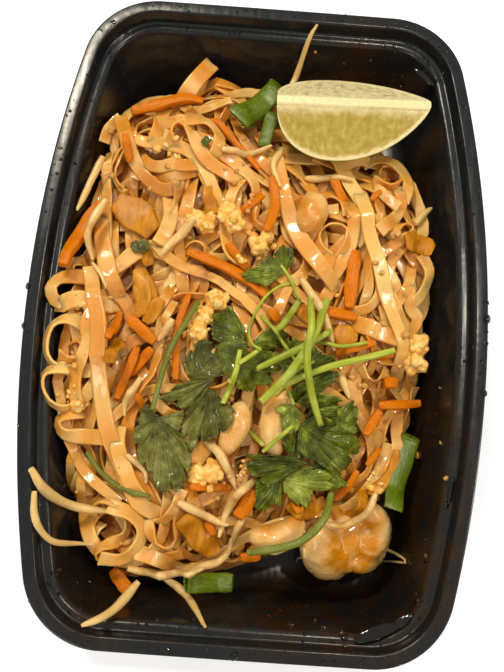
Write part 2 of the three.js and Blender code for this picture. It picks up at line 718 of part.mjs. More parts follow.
// A wavy sheet with its upper and lower faces split into triangles alike.
function cilantroLeaf(leaf) {
  const phase = leafDraw() * 2 * Math.PI;
  const [x, y] = leaf.place;
  const middle = [x, y, pile.top(x, y, LEAF_DRAPE_REACH) + LEAF_THICKNESS];
  const rings = LEAF_RINGS.map((out) => leafRing(out, leaf, phase));
  const points = [middle, ...rings.flat()];
  const faces = [];
  for (let i = 0; i < LEAF_SPOKES; i++) {
    const next = (i + 1) % LEAF_SPOKES;
    faces.push([0, 1 + i, 1 + next]);
    for (let ring = 1; ring < rings.length; ring++) {
      const [inner, outer] = [1 + (ring - 1) * LEAF_SPOKES, 1 + ring * LEAF_SPOKES];
      faces.push([inner + i, outer + i, outer + next], [inner + i, outer + next, inner + next]);
    }
  }
  const rim = 1 + (rings.length - 1) * LEAF_SPOKES;
  const under = points.length;
  const sides = [];
  for (let i = 0; i < LEAF_SPOKES; i++) {
    const [here, next] = [rim + i, rim + ((i + 1) % LEAF_SPOKES)];
    sides.push([here, under + here, under + next], [here, under + next, next]);
  }
  const lower = faces.map(([a, b, c]) => [under + a, under + c, under + b]);
  const geometry = new THREE.BufferGeometry();
  const below = points.map(([px, py, pz]) => [px, py, pz - LEAF_THICKNESS]);
  geometry.setAttribute('position', new THREE.Float32BufferAttribute([...points, ...below].flat(), 3));
  geometry.setIndex([...faces, ...lower, ...sides].flat());
  return geometry;
}

const STEMS = [
  { plan: [[-54, -51], [-49, -57], [-41, -62], [-31, -64]], width: 1.8 },
  { plan: [[29, -59], [26, -67], [18, -75], [2, -79.5]], width: 2.6 },
  { plan: [[-20, 1], [-26, -10], [-30, -21], [-32.5, -36]], width: 1.9 },
  { plan: [[48, -9.5], [38, -13], [24, -18], [10, -25]], width: 2.4 },
  { plan: [[25, -5.5], [13, -13], [0, -20], [-8, -25]], width: 2.4 },
  { plan: [[23.5, 6], [19, -8], [12, -21], [3, -31]], width: 3 },
  { plan: [[17.5, 5], [17.5, -6], [17, -19], [23.5, -37]], width: 2.5 },
];

function cilantroStem({ plan, width }) {
  const line = layOver(pile, plan, width / 2, width / 2);
  return bend(rodBlank(width, width, ROD_SIDES, stepsAlong(line)), line);
}

// ---- The noodles that show ----

// Noodles placed by hand: the loops on the left ledge and the long runs that catch the eye.
const CHOSEN_NOODLES = [
  { plan: [[-50, 5], [-58, 8], [-66, 7.5], [-68.8, 3], [-66, -2], [-58, -3.5], [-50, -3]], lift: 0.4 },
  { plan: [[-48, -10], [-58, -8], [-66, -9], [-69, -15], [-67, -22], [-60, -24.5], [-50, -22]], lift: 0.4 },
  { plan: [[-46, -36], [-55, -40], [-62, -41], [-67, -36.5], [-68, -29], [-63, -25], [-52, -25]],
    lift: 0.4 },
  { plan: [[-44, -46], [-54, -46], [-62, -45.5], [-64, -41], [-57, -38]], lift: 0.4 },
  { plan: [[-55, 19], [-52.5, 0], [-51, -20], [-49.5, -36], [-46, -50]], lift: 1.6 },
  { plan: [[-57, 72], [-50, 60], [-46, 50], [-38, 43], [-29, 43]], lift: 1.5 },
  { plan: [[-50, 56], [-52, 66], [-46, 73], [-40, 66], [-43, 56]], lift: 1.5 },
  { plan: [[-38, 71], [-28, 68], [-20, 65], [-19, 56], [-27, 52]], lift: 1.5 },
  { plan: [[-33, 80], [-27, 86], [-22, 93.5]], lift: 0 },
  { plan: [[-34, 36], [-32, 24], [-38, 14], [-37, 6]], lift: 1 },
  { plan: [[40, 60], [46, 52], [48, 40], [40, 28], [41, 12], [50, -6], [53, -18]], lift: 1 },
  { plan: [[36, 46], [39, 34], [46, 30], [55, 32], [61, 24], [58, 10]], lift: 0.5 },
  { plan: [[8, 42], [13, 30], [20, 20], [28, 11]], lift: 1.2 },
  { plan: [[-50, -72], [-44, -80], [-35, -86], [-22, -87], [-14, -84]], lift: 0.6 },
  { plan: [[-48, -66], [-38, -66], [-33, -74], [-38, -84], [-45, -84]], lift: 1 },
];
const noodleDraw = seeded(NOODLE_SEED);

// Short shreds and nuts too small for a piece of their own, half sunk in the heap: place, size, turn.
const HEAP_BITS = [
  [[-4, 39], [10, 3], 45], [[-9, 19], [10, 3], -48], [[29, 1.5], [11, 3.4], -6],
  [[36, -10], [13, 2.6], 18], [[-48, -9], [10, 3], 82], [[35, -57], [12, 2.6], 52],
  [[-53.5, 47], [6, 5], 0], [[-41, -82], [6, 4.5], 20], [[28, 8], [4, 3], -20],
  [[-50, 55], [9, 2.6], 95], [[48, -21], [6, 4.5], 30], [[-34, 54], [5, 3.6], 0],
];
const HEAP_BIT_HEIGHT = 4;

function heapBit([[x, y], [length, width], turn]) {
  const bit = new THREE.IcosahedronGeometry(0.5, 0);
  bit.scale(length, width, HEAP_BIT_HEIGHT);
  bit.rotateZ(THREE.MathUtils.degToRad(turn));
  return bit.translate(x, y, heapHeight(x, y));
}

// The longest stretch of a plan line that stays on the heap and clear of the toppings. Only the
// chosen noodles reach over the tray's ledge.
function clearStretch(points, mayCrossLedge) {
  const reach = NOODLE_WIDTH / 2 + CLEARANCE;
  let best = [];
  let run = [];
  for (const point of points) {
    const { x, y } = point;
    const height = heapHeight(x, y);
    const onHeap = height > NOODLE_LOWEST && (mayCrossLedge || pile.bareTop(x, y) < height + 1);
    run = onHeap && !pile.isCovered(x, y, reach) ? [...run, point] : [];
    if (run.length > best.length) best = run;
  }
  return best;
}

// A line that wanders from a start, turning a little at every stride.
function wanderingLine(x, y) {
  const heading = noodleDraw() * 2 * Math.PI;
  const bendiness = (2 * noodleDraw() - 1) * NOODLE_BEND;
  const wave = THREE.MathUtils.lerp(...NOODLE_WAVE, noodleDraw());
  const strides = Math.round(NOODLE_LONGEST / NOODLE_STRIDE);
  const points = [];
  const place = new THREE.Vector2(x, y);
  for (let i = 0; i < strides; i++) {
    points.push(place.clone());
    const angle = heading + bendiness * i + Math.sin(i * wave) * NOODLE_SWING;
    place.x += NOODLE_STRIDE * Math.cos(angle);
    place.y += NOODLE_STRIDE * Math.sin(angle);
  }
  return points;
}

function noodle(laid, points, lift) {
  const heights = points.map(({ x, y }) => {
    const most = pile.bareTop(x, y) + NOODLE_RISE_LIMIT;
    return Math.min(most, laid.top(x, y, CELL)) + lift + NOODLE_THICKNESS / 2 - NOODLE_SINK;
  });
  const smooth = eased(heights);
  const line = new THREE.CatmullRomCurve3(points.map(({ x, y }, i) => new THREE.Vector3(x, y, smooth[i])));
  const steps = Math.max(FEWEST_STEPS, Math.round(line.getLength() / NOODLE_STEP));
  const start = noodleDraw() * 2 * Math.PI;
  const roll = (t) => NOODLE_LEAN * Math.sin(start + t * 2 * Math.PI * NOODLE_ROLLS);
  const geometry = closed(bend(ribbonBlank(NOODLE_WIDTH, NOODLE_THICKNESS, steps), line, roll));
  laid.add(geometry, true);
  return geometry;
}

function planPoints(plan) {
  const curve = new THREE.CatmullRomCurve3(plan.map(([x, y]) => new THREE.Vector3(x, y, 0)));
  return curve.getSpacedPoints(Math.round(curve.getLength() / NOODLE_STRIDE));
}

// Clear stretches of wandering lines from starts all over the heap.
function wanderingStretches() {
  const [halfX, halfY] = [TRAY_HALF_WIDTH - wallTopInset, TRAY_HALF_LENGTH - wallTopInset];
  return Array.from({ length: NOODLE_TRIES }, () => {
    const x = (2 * noodleDraw() - 1) * halfX;
    const y = (2 * noodleDraw() - 1) * halfY;
    return clearStretch(wanderingLine(x, y), false);
  }).filter((points) => points.length * NOODLE_STRIDE >= NOODLE_SHORTEST);
}

function freshPoints(laid, points) {
  return points.filter(({ x, y }) => !laid.isCovered(x, y, NOODLE_WIDTH)).length;
}

function noodleHeap(core, room) {
  const laid = new Pile();
  laid.add(tray, false);
  laid.add(fromSolid(core), false);
  const noodles = [];
  for (const { plan, lift } of CHOSEN_NOODLES) {
    const points = clearStretch(planPoints(plan), true);
    if (points.length * NOODLE_STRIDE >= NOODLE_SHORTEST) noodles.push(noodle(laid, points, lift));
  }
  // Each further noodle is the one that covers the most bare heap.
  const stretches = wanderingStretches();
  for (let count = 0; count < NOODLE_COUNT; count++) {
    const scores = stretches.map((points) => freshPoints(laid, points));
    const best = scores.indexOf(Math.max(...scores));
    noodles.push(noodle(laid, stretches[best], 0));
    stretches.splice(best, 1);
  }
  const bits = HEAP_BITS.filter(([[x, y]]) => !pile.isCovered(x, y, NOODLE_WIDTH)).map(heapBit);
  const all = [...noodles, ...bits].map(toSolid).reduce((a, b) => a.add(b), core);
  return fromSolid(largestBody(all.intersect(room)));
}

// ---- The whole dish ----

const tray = trayBody();
const room = trayRoom();
const core = bareCore(room);
pile.add(tray, false);
pile.add(fromSolid(core), false);
pile.markBare();

addMesh('tray', tray, finish('tray', 0.35));
addEach('shrimp', SHRIMP, shrimp, finish('shrimp', 0.4));
addEach('onion', ONION, onionPiece, finish('onion', 0.35));
addEach('egg_clump', EGG, eggClump, finish('egg', 0.6));
addEach('carrot_shred', CARROTS, carrotShred, finish('carrot', 0.45));
addEach('sprout', SPROUTS, sprout, finish('sprout', 0.35));
addEach('scallion', SCALLIONS, scallionPiece, finish('scallion', 0.4));
addTopping('lime_wedge', limeWedge(), finish('lime', 0.35));
addEach('cilantro_leaf', LEAVES, cilantroLeaf, finish('leaf', 0.5));
addEach('cilantro_stem', STEMS, cilantroStem, finish('stem', 0.4));
addMesh('noodle_heap', noodleHeap(core, room), finish('noodle', 0.4));

export default group;
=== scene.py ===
"""Dresses a packed pad thai in its takeaway tray: separate noodles, toppings, tray and stage.

Lengths in the lists below are millimetres in the model's own frame: X across the tray, Y along
it towards the lime and Z up from the surface that the tray stands on.
"""

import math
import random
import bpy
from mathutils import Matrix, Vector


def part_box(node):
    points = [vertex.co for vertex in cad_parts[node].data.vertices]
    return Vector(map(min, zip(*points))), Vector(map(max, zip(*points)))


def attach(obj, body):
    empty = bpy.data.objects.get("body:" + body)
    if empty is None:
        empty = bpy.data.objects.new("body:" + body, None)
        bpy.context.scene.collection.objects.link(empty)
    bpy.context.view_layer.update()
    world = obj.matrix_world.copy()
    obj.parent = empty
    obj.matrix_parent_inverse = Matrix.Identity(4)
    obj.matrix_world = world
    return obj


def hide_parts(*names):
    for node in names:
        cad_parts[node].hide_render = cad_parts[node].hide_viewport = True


bl_info = {
    "name": "Pad thai dressing",
    "version": (1, 0, 0),
    "blender": (4, 5, 0),
    "location": "3D View > Sidebar > Pad thai",
    "description": "Builds the noodles, toppings, tray and studio of a takeaway pad thai",
    "category": "Object",
}

import bmesh
import bpy
import numpy as np
from bpy.props import FloatProperty, FloatVectorProperty, IntProperty, PointerProperty
from mathutils import Matrix, Vector, noise
from mathutils.bvhtree import BVHTree

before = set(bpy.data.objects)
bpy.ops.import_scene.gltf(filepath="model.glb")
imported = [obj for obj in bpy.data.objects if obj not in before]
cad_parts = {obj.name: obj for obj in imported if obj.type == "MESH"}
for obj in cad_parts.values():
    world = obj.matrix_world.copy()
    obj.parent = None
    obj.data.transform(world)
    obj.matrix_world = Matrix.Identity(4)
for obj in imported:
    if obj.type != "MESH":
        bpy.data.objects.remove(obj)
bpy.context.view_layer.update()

MM = 0.001
UP = Vector((0.0, 0.0, 1.0))
# A full turn, near enough for random angles.
FULL_TURN = 6.28


# ---- Node names ----

def nodes_named(kind):
    """The CAD nodes of one kind, in order."""
    return sorted(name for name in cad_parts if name.startswith(kind))


# ---- Colours ----

def rgb(text):
    """A linear colour from a screen colour written as six hex digits."""
    values = [int(text[i:i + 2], 16) / 255 for i in (0, 2, 4)]
    return tuple(v / 12.92 if v < 0.04045 else ((v + 0.055) / 1.055) ** 2.4 for v in values)


def rgba(text):
    return (*rgb(text), 1.0)


# ---- Meshes and objects ----

def linked(name, data):
    """A new object in the scene."""
    made = bpy.data.objects.new(name, data)
    bpy.context.scene.collection.objects.link(made)
    return made


def new_object(name, mesh, material, *replaced):
    """Puts a finished mesh into the scene, on the dish's only body."""
    mesh.name = name
    mesh.materials.clear()
    mesh.materials.append(material)
    piece = linked(name, mesh)
    for polygon in mesh.polygons:
        polygon.use_smooth = True
    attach(piece, "root")
    if replaced:
        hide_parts(*replaced)
    return piece


def node_bmesh(*names):
    """A merged copy of some CAD nodes' meshes."""
    shape = bmesh.new()
    for name in names:
        shape.from_mesh(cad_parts[name].data)
    bmesh.ops.remove_doubles(shape, verts=shape.verts, dist=0.00001)
    return shape


def solid_tree(*names):
    """Some CAD nodes as a tree that rays can be cast at."""
    shape = node_bmesh(*names)
    tree = BVHTree.FromBMesh(shape)
    shape.free()
    return tree


# ---- Heights over the tray's plan ----

class Relief:
    """A grid of heights in millimetres over the tray's plan."""

    CELL = 0.8
    HALF_X = 80.0
    HALF_Y = 113.6
    # Heights over and below the whole dish, from which rays are cast.
    OVER, BELOW = 100.0, -20.0

    def __init__(self, fill=0.0):
        self.columns = int(2 * self.HALF_X / self.CELL)
        self.rows = int(2 * self.HALF_Y / self.CELL)
        self.z = np.full((self.rows, self.columns), float(fill))

    def copy(self):
        other = Relief()
        other.z = self.z.copy()
        return other

    def cells(self, x, y):
        column = ((np.asarray(x) + self.HALF_X) / self.CELL).astype(int).clip(0, self.columns - 1)
        row = ((np.asarray(y) + self.HALF_Y) / self.CELL).astype(int).clip(0, self.rows - 1)
        return row, column

    def at(self, x, y):
        return self.z[self.cells(x, y)]

    def raise_to(self, x, y, height):
        row, column = self.cells(x, y)
        np.maximum.at(self.z, (row, column), height)

    def centres(self):
        x = (np.arange(self.columns) + 0.5) * self.CELL - self.HALF_X
        y = (np.arange(self.rows) + 0.5) * self.CELL - self.HALF_Y
        return np.meshgrid(x, y)

    def read_solids(self, tree, from_above, miss):
        """Fills the grid with the first surface met from above or from below."""
        start, way = (self.OVER, -UP) if from_above else (self.BELOW, UP)
        xs, ys = self.centres()
        for row in range(self.rows):
            for column in range(self.columns):
                place = Vector((xs[row, column] * MM, ys[row, column] * MM, start * MM))
                hit = tree.ray_cast(place, way)[0]
                self.z[row, column] = miss if hit is None else hit.z / MM
        return self

    def spread(self, cells, combine):
        """The grid with each height combined with its neighbours', along each axis in turn."""
        other = self.copy()
        for axis in (0, 1):
            shifted = [np.roll(other.z, shift, axis) for shift in range(-cells, cells + 1)]
            other.z = combine(shifted)
        return other

    def lowest_near(self, cells):
        """The lowest height within a few cells."""
        return self.spread(cells, np.minimum.reduce)

    def draped(self, cells):
        """A smooth cover over the highest heights within a few cells."""
        return self.spread(cells, np.maximum.reduce).blurred(cells + 1)

    def blurred(self, cells):
        """The heights smoothed over a few cells."""
        return self.spread(cells, lambda shifted: sum(shifted) / len(shifted))


# ---- Lines ----

CURVE_STEPS = 16


def smooth_line(plan, step):
    """Evenly spaced points on a smooth curve through a list of points."""
    points = np.asarray(plan, float)
    padded = np.vstack([2 * points[0] - points[1], points, 2 * points[-1] - points[-2]])
    dense = []
    for a, b, c, d in zip(padded, padded[1:], padded[2:], padded[3:]):
        for t in np.linspace(0, 1, CURVE_STEPS, endpoint=False):
            dense.append(0.5 * (2 * b + (c - a) * t + (2 * a - 5 * b + 4 * c - d) * t ** 2
                                + (3 * b - a - 3 * c + d) * t ** 3))
    dense.append(points[-1])
    return even_steps(np.array(dense), step)


def even_steps(points, step):
    """Points along a line, evenly spaced in plan."""
    lengths = np.r_[0, np.cumsum(np.linalg.norm(np.diff(points[:, :2], axis=0), axis=1))]
    count = max(3, int(round(lengths[-1] / step)) + 1)
    places = np.linspace(0, lengths[-1], count)
    return np.stack([np.interp(places, lengths, points[:, i]) for i in range(points.shape[1])], 1)


def left_of(points):
    """Unit vectors in plan, to the left of each point's way along the line."""
    way = np.gradient(points[:, :2], axis=0)
    way /= np.maximum(np.linalg.norm(way, axis=1), 1e-6)[:, None]
    return np.stack([-way[:, 1], way[:, 0]], 1)


def turning(points):
    """How sharply a line turns at each point, in radians a millimetre, left positive."""
    way = np.gradient(points[:, :2], axis=0)
    angle = np.unwrap(np.arctan2(way[:, 1], way[:, 0]))
    length = np.maximum(np.linalg.norm(way, axis=1), 1e-6)
    return np.gradient(angle) / length


def patches(places, x, y):
    """How much round patches, each a place and a reach, cover a place, from 0 to 1."""
    return min(1.0, sum(math.exp(-((x - cx) ** 2 + (y - cy) ** 2) / reach ** 2)
                        for cx, cy, reach in places))


# ---- Swept strands ----

def section_curve(points):
    """A closed flat outline that strands are swept with."""
    data = bpy.data.curves.new("section", "CURVE")
    data.dimensions = "2D"
    spline = data.splines.new("POLY")
    spline.points.add(len(points) - 1)
    for point, (x, y) in zip(spline.points, points):
        point.co = (x * MM, y * MM, 0, 1)
    spline.use_cyclic_u = True
    return bpy.data.objects.new("section", data)


def swept_mesh(strands, section):
    """Sweeps a section along strands, each an array of x, y, z, roll and size a point."""
    outline = section_curve(section)
    data = bpy.data.curves.new("strands", "CURVE")
    data.dimensions = "3D"
    data.bevel_mode = "OBJECT"
    data.bevel_object = outline
    data.use_fill_caps = True
    data.twist_mode = "Z_UP"
    for number, strand in enumerate(strands):
        data.materials.append(None)
        spline = data.splines.new("POLY")
        spline.points.add(len(strand) - 1)
        place = np.column_stack([strand[:, :3] * MM, np.ones(len(strand))])
        spline.points.foreach_set("co", place.ravel().astype(np.float32))
        spline.points.foreach_set("tilt", strand[:, 3].astype(np.float32))
        spline.points.foreach_set("radius", strand[:, 4].astype(np.float32))
        spline.material_index = number
    holder = linked("strands", data)
    ready = bpy.context.evaluated_depsgraph_get()
    mesh = bpy.data.meshes.new_from_object(holder.evaluated_get(ready))
    bpy.data.objects.remove(holder)
    bpy.data.objects.remove(outline)
    bpy.data.curves.remove(data)
    return mesh


def strand_numbers(mesh):
    """Each face's strand number, which the sweep left as its material number."""
    numbers = np.zeros(len(mesh.polygons), np.int32)
    mesh.polygons.foreach_get("material_index", numbers)
    mesh.materials.clear()
    mesh.polygons.foreach_set("material_index", np.zeros_like(numbers))
    return numbers


def face_values(mesh, name, values):
    """Stores one number a face."""
    layer = mesh.attributes.new(name, "FLOAT", "FACE")
    layer.data.foreach_set("value", np.asarray(values, np.float32))


def point_values(mesh, name, values):
    """Stores one number a point."""
    layer = mesh.attributes.new(name, "FLOAT", "POINT")
    layer.data.foreach_set("value", np.asarray(values, np.float32))


def coordinates(mesh):
    """The mesh's points in millimetres."""
    flat = np.zeros(len(mesh.vertices) * 3, np.float32)
    mesh.vertices.foreach_get("co", flat)
    return flat.reshape(-1, 3).astype(float) / MM


# ---- The dish so far ----

TOPPINGS = [name for kind in ("shrimp", "onion", "egg", "carrot", "sprout", "scallion", "lime",
                              "cilantro") for name in nodes_named(kind)]
# How far the noodles rise over the heap's solid, and how deep they lie over their core.
HEAP_SWELL, NOODLE_BED = 0.6, 7.5
# Heights that stand for no surface below and none above.
MISS, OPEN_SKY = -50.0, 500.0
# How far under the toppings the noodles are kept.
TOPPING_GAP = 0.2


class Dish:
    """What lies where: the surfaces that later pieces are laid on and kept under."""

    def __init__(self):
        toppings = solid_tree(*TOPPINGS)
        self.tray = Relief().read_solids(solid_tree("tray"), True, 0.0)
        self.heap = Relief().read_solids(solid_tree("noodle_heap"), True, MISS)
        self.under = Relief().read_solids(toppings, False, OPEN_SKY)
        surface = self.heap.copy()
        surface.z = np.maximum(self.heap.z, 0)
        self.surface = surface.blurred(2)
        self.surface.z += HEAP_SWELL
        self.surface.z[self.heap.z < 0] = 0
        self.core = self.surface.copy()
        self.core.z = np.maximum(self.surface.z - NOODLE_BED, 0)
        self.ground = self.core.copy()
        self.ground.z = np.maximum(self.core.z, self.tray.z)
        clean = solid_tree(*nodes_named("lime"), *nodes_named("scallion"))
        self.clean = Relief().read_solids(clean, True, MISS)

    def ceiling(self, slack):
        """How high noodles may reach: a little over the heap's surface, and under the toppings."""
        limit = self.surface.copy()
        limit.z = np.minimum(self.surface.z + slack, self.under.z - TOPPING_GAP)
        limit.z[self.surface.z < EDGE_HEIGHT] = 0
        return limit

    def add_toppings(self, swell, *kinds):
        """From here on, pieces are laid on these toppings too, which have swelled a little."""
        tree = solid_tree(*(name for kind in kinds for name in nodes_named(kind)))
        over = Relief().read_solids(tree, True, MISS)
        self.ground.z = np.maximum(self.ground.z, over.z + swell)


# ---- Noodle paths ----

STRIDE = 2.0
EDGE_HEIGHT = 19.0
# How strongly and over what distance the noodles' usual way drifts, and how swirls turn it.
FLOW_DRIFT, FLOW_SPAN, SWIRL_PULL = 2.4, 36, 2.4
# How far ahead a noodle's way has to be open, and its sharpest turn at one stride.
LOOK_AHEAD, SHARPEST_TURN = 7, 0.32
# A wandering noodle's turns at each stride: its pull to the flow, its own drift and how soon
# that fades. Loops begin by chance, with a radius and a length in radii.
FLOW_PULL, DRIFT, DRIFT_FADE = 0.09, 0.04, 0.14
LOOP_CHANCE, LOOP_RADII, LOOP_LENGTHS = 0.016, (5.5, 13), (2.4, 6.6)
# Between what lengths a noodle's slow swing repeats, and the most that it leans.
SWING_SPANS, MOST_ROLL = (35, 110), 1.35
# Places that noodles curl round: x, y, reach and sense.
SWIRLS = [
    (-36, 60, 13, 1), (44, 55, 11, -1), (24, 30, 8, 1), (-42, -74, 12, 1), (38, -18, 8, -1),
    (-14, -64, 9, -1), (52, 30, 9, 1), (-66, -2, 8, 1), (-64, -34, 8, 1), (-10, 66, 9, -1),
]


def flow(x, y):
    """The way that noodles tend to lie at a place, as an angle."""
    drift = math.pi / 2 + FLOW_DRIFT * noise.noise(Vector((x / FLOW_SPAN, y / FLOW_SPAN, 4.7)))
    way = [math.cos(drift), math.sin(drift)]
    for cx, cy, reach, sense in SWIRLS:
        dx, dy = x - cx, y - cy
        distance = math.hypot(dx, dy) + 0.1
        pull = SWIRL_PULL * sense * math.exp(-(distance / reach) ** 2 / 2) / distance
        way[0] -= dy * pull
        way[1] += dx * pull
    return math.atan2(way[1], way[0])


def wrapped(angle):
    """The same angle, between half a turn to either side."""
    return (angle + math.pi) % (2 * math.pi) - math.pi


def open_turn(blocked, x, y, heading):
    """The smallest turn that leads to an open place ahead, or None."""
    for turn in (0, 0.3, -0.3, 0.7, -0.7, 1.2, -1.2):
        ahead_x = x + LOOK_AHEAD * math.cos(heading + turn)
        if not blocked.at(ahead_x, y + LOOK_AHEAD * math.sin(heading + turn)):
            return turn
    return None


def wandering_path(draw, start, length, blocked):
    """A line that follows the flow, drifts, and now and then curls into a loop."""
    x, y = start
    heading = flow(x, y) + draw.choice((0, math.pi)) + draw.gauss(0, 0.5)
    drift, loop, loop_turn = 0.0, 0.0, 0.0
    points = []
    for _ in range(int(length / STRIDE)):
        points.append((x, y))
        lead = wrapped(flow(x, y) - heading)
        if abs(lead) > math.pi / 2:
            lead = wrapped(lead + math.pi)
        drift += draw.gauss(0, DRIFT) - DRIFT_FADE * drift
        turn = FLOW_PULL * lead + drift
        if loop > 0:
            turn = loop_turn
            loop -= STRIDE
        elif draw.random() < LOOP_CHANCE:
            radius = draw.uniform(*LOOP_RADII)
            loop = radius * draw.uniform(*LOOP_LENGTHS)
            loop_turn = draw.choice((-1, 1)) * STRIDE / radius
        way = open_turn(blocked, x, y, heading)
        if way is None:
            break
        if way:
            turn = max(-SHARPEST_TURN, min(SHARPEST_TURN, way))
        heading += turn
        x += STRIDE * math.cos(heading)
        y += STRIDE * math.sin(heading)
    return np.array(points)


def rolled(points, draw, bank, swing):
    """How far a noodle leans at each point: banked in its curves, and slowly swinging."""
    phase, span = draw.uniform(0, FULL_TURN), draw.uniform(*SWING_SPANS)
    along = np.arange(len(points)) * STRIDE
    roll = bank * turning(points) + swing * np.sin(phase + 2 * math.pi * along / span)
    kernel = np.ones(7) / 7
    roll = np.convolve(np.pad(roll, 3, mode="edge"), kernel, mode="valid")
    return roll.clip(-MOST_ROLL, MOST_ROLL)


# ---- Laying noodles ----

class Laid:
    """A noodle while it is laid: its line, its lean, and the cells that it covers."""

    ACROSS = np.linspace(-0.5, 0.5, 7)
    CHUNK = 6

    def __init__(self, points, roll, width, thickness):
        self.points = points
        self.roll = roll
        self.width = width
        self.half = thickness / 2
        self.z = np.zeros(len(points))

    def part(self, first, last):
        """A stretch of the noodle, as a noodle of its own."""
        piece = Laid(self.points[first:last], self.roll[first:last], self.width, 2 * self.half)
        piece.z = self.z[first:last]
        return piece

    def footprint(self):
        """The places under the noodle, point by point and across it, and their rise."""
        left = left_of(self.points)
        spread = self.ACROSS[None, :] * self.width
        reach = spread * np.cos(self.roll)[:, None]
        x = self.points[:, :1] + left[:, :1] * reach
        y = self.points[:, 1:2] + left[:, 1:2] * reach
        return x, y, spread * np.sin(self.roll)[:, None]

    def settle(self, ground, easing):
        """Lays the noodle on the ground, over its own earlier loops, and eases its heights."""
        trial = ground.copy()
        x, y, rise = self.footprint()
        lift = self.half * np.cos(self.roll) + 0.1
        need = np.zeros(len(self.points))
        for first in range(0, len(need), self.CHUNK):
            now = slice(first, first + self.CHUNK)
            need[now] = (trial.at(x[now], y[now]) - rise[now]).max(1) + lift[now]
            if first:
                before = slice(first - self.CHUNK, first)
                top = need[before, None] + rise[before] + lift[before, None]
                trial.raise_to(x[before], y[before], top)
        z = need.copy()
        for _ in range(easing):
            padded = np.pad(z, 1, mode="edge")
            z = np.maximum(need, (padded[:-2] + z + padded[2:]) / 3)
        self.z = z
        return self

    def clear_part(self, ceiling):
        """The longest stretch that stays under the ceiling."""
        x, y, rise = self.footprint()
        top = self.z[:, None] + rise + self.half
        fits = (top <= ceiling.at(x, y)).all(1)
        best, first = (0, 0), None
        for i, ok in enumerate(list(fits) + [False]):
            if ok and first is None:
                first = i
            if not ok and first is not None:
                if i - first > best[1] - best[0]:
                    best = (first, i)
                first = None
        return self.part(*best)

    def press_into(self, ground):
        """Raises the ground to the noodle's top."""
        x, y, rise = self.footprint()
        top = self.z[:, None] + rise + self.half
        ground.raise_to(x, y, top)
        between = [(a[:-1] + a[1:]) / 2 for a in (x, y, top)]
        ground.raise_to(*between)

    def arch(self, height, span, phase):
        """Lifts it off what is under it, now and then along its length."""
        along = np.arange(len(self.z)) * STRIDE
        self.z = self.z + height * np.maximum(0, np.sin(phase + 2 * math.pi * along / span))
        return self

    def dip_end(self, depth, first):
        """Lets one end go down between the noodles under it."""
        count = min(5, len(self.z) // 2)
        fall = depth * (1 - np.arange(count) / count) ** 2
        if first:
            self.z[:count] -= fall
        else:
            self.z[-count:] -= fall[::-1]

    def strand(self):
        """Its points as x, y, z, roll and size."""
        along = np.arange(len(self.points))
        size = self.width / NOODLE_WIDTH * (1 + 0.07 * np.sin(along * 0.31 + self.points[0, 0]))
        return np.column_stack([self.points, self.z, self.roll, size])


NOODLE_WIDTH = 5.4
# A noodle's section: a flat strip with round edges that stand a little above its middle.
NOODLE_SECTION = [(-2.7, 0.2), (-2.5, 0.62), (-1.9, 0.66), (0, 0.42), (1.9, 0.66), (2.5, 0.62),
                  (2.7, 0.2), (2.5, -0.32), (1.9, -0.44), (0, -0.58), (-1.9, -0.44), (-2.5, -0.32)]


# ---- Chosen noodles ----

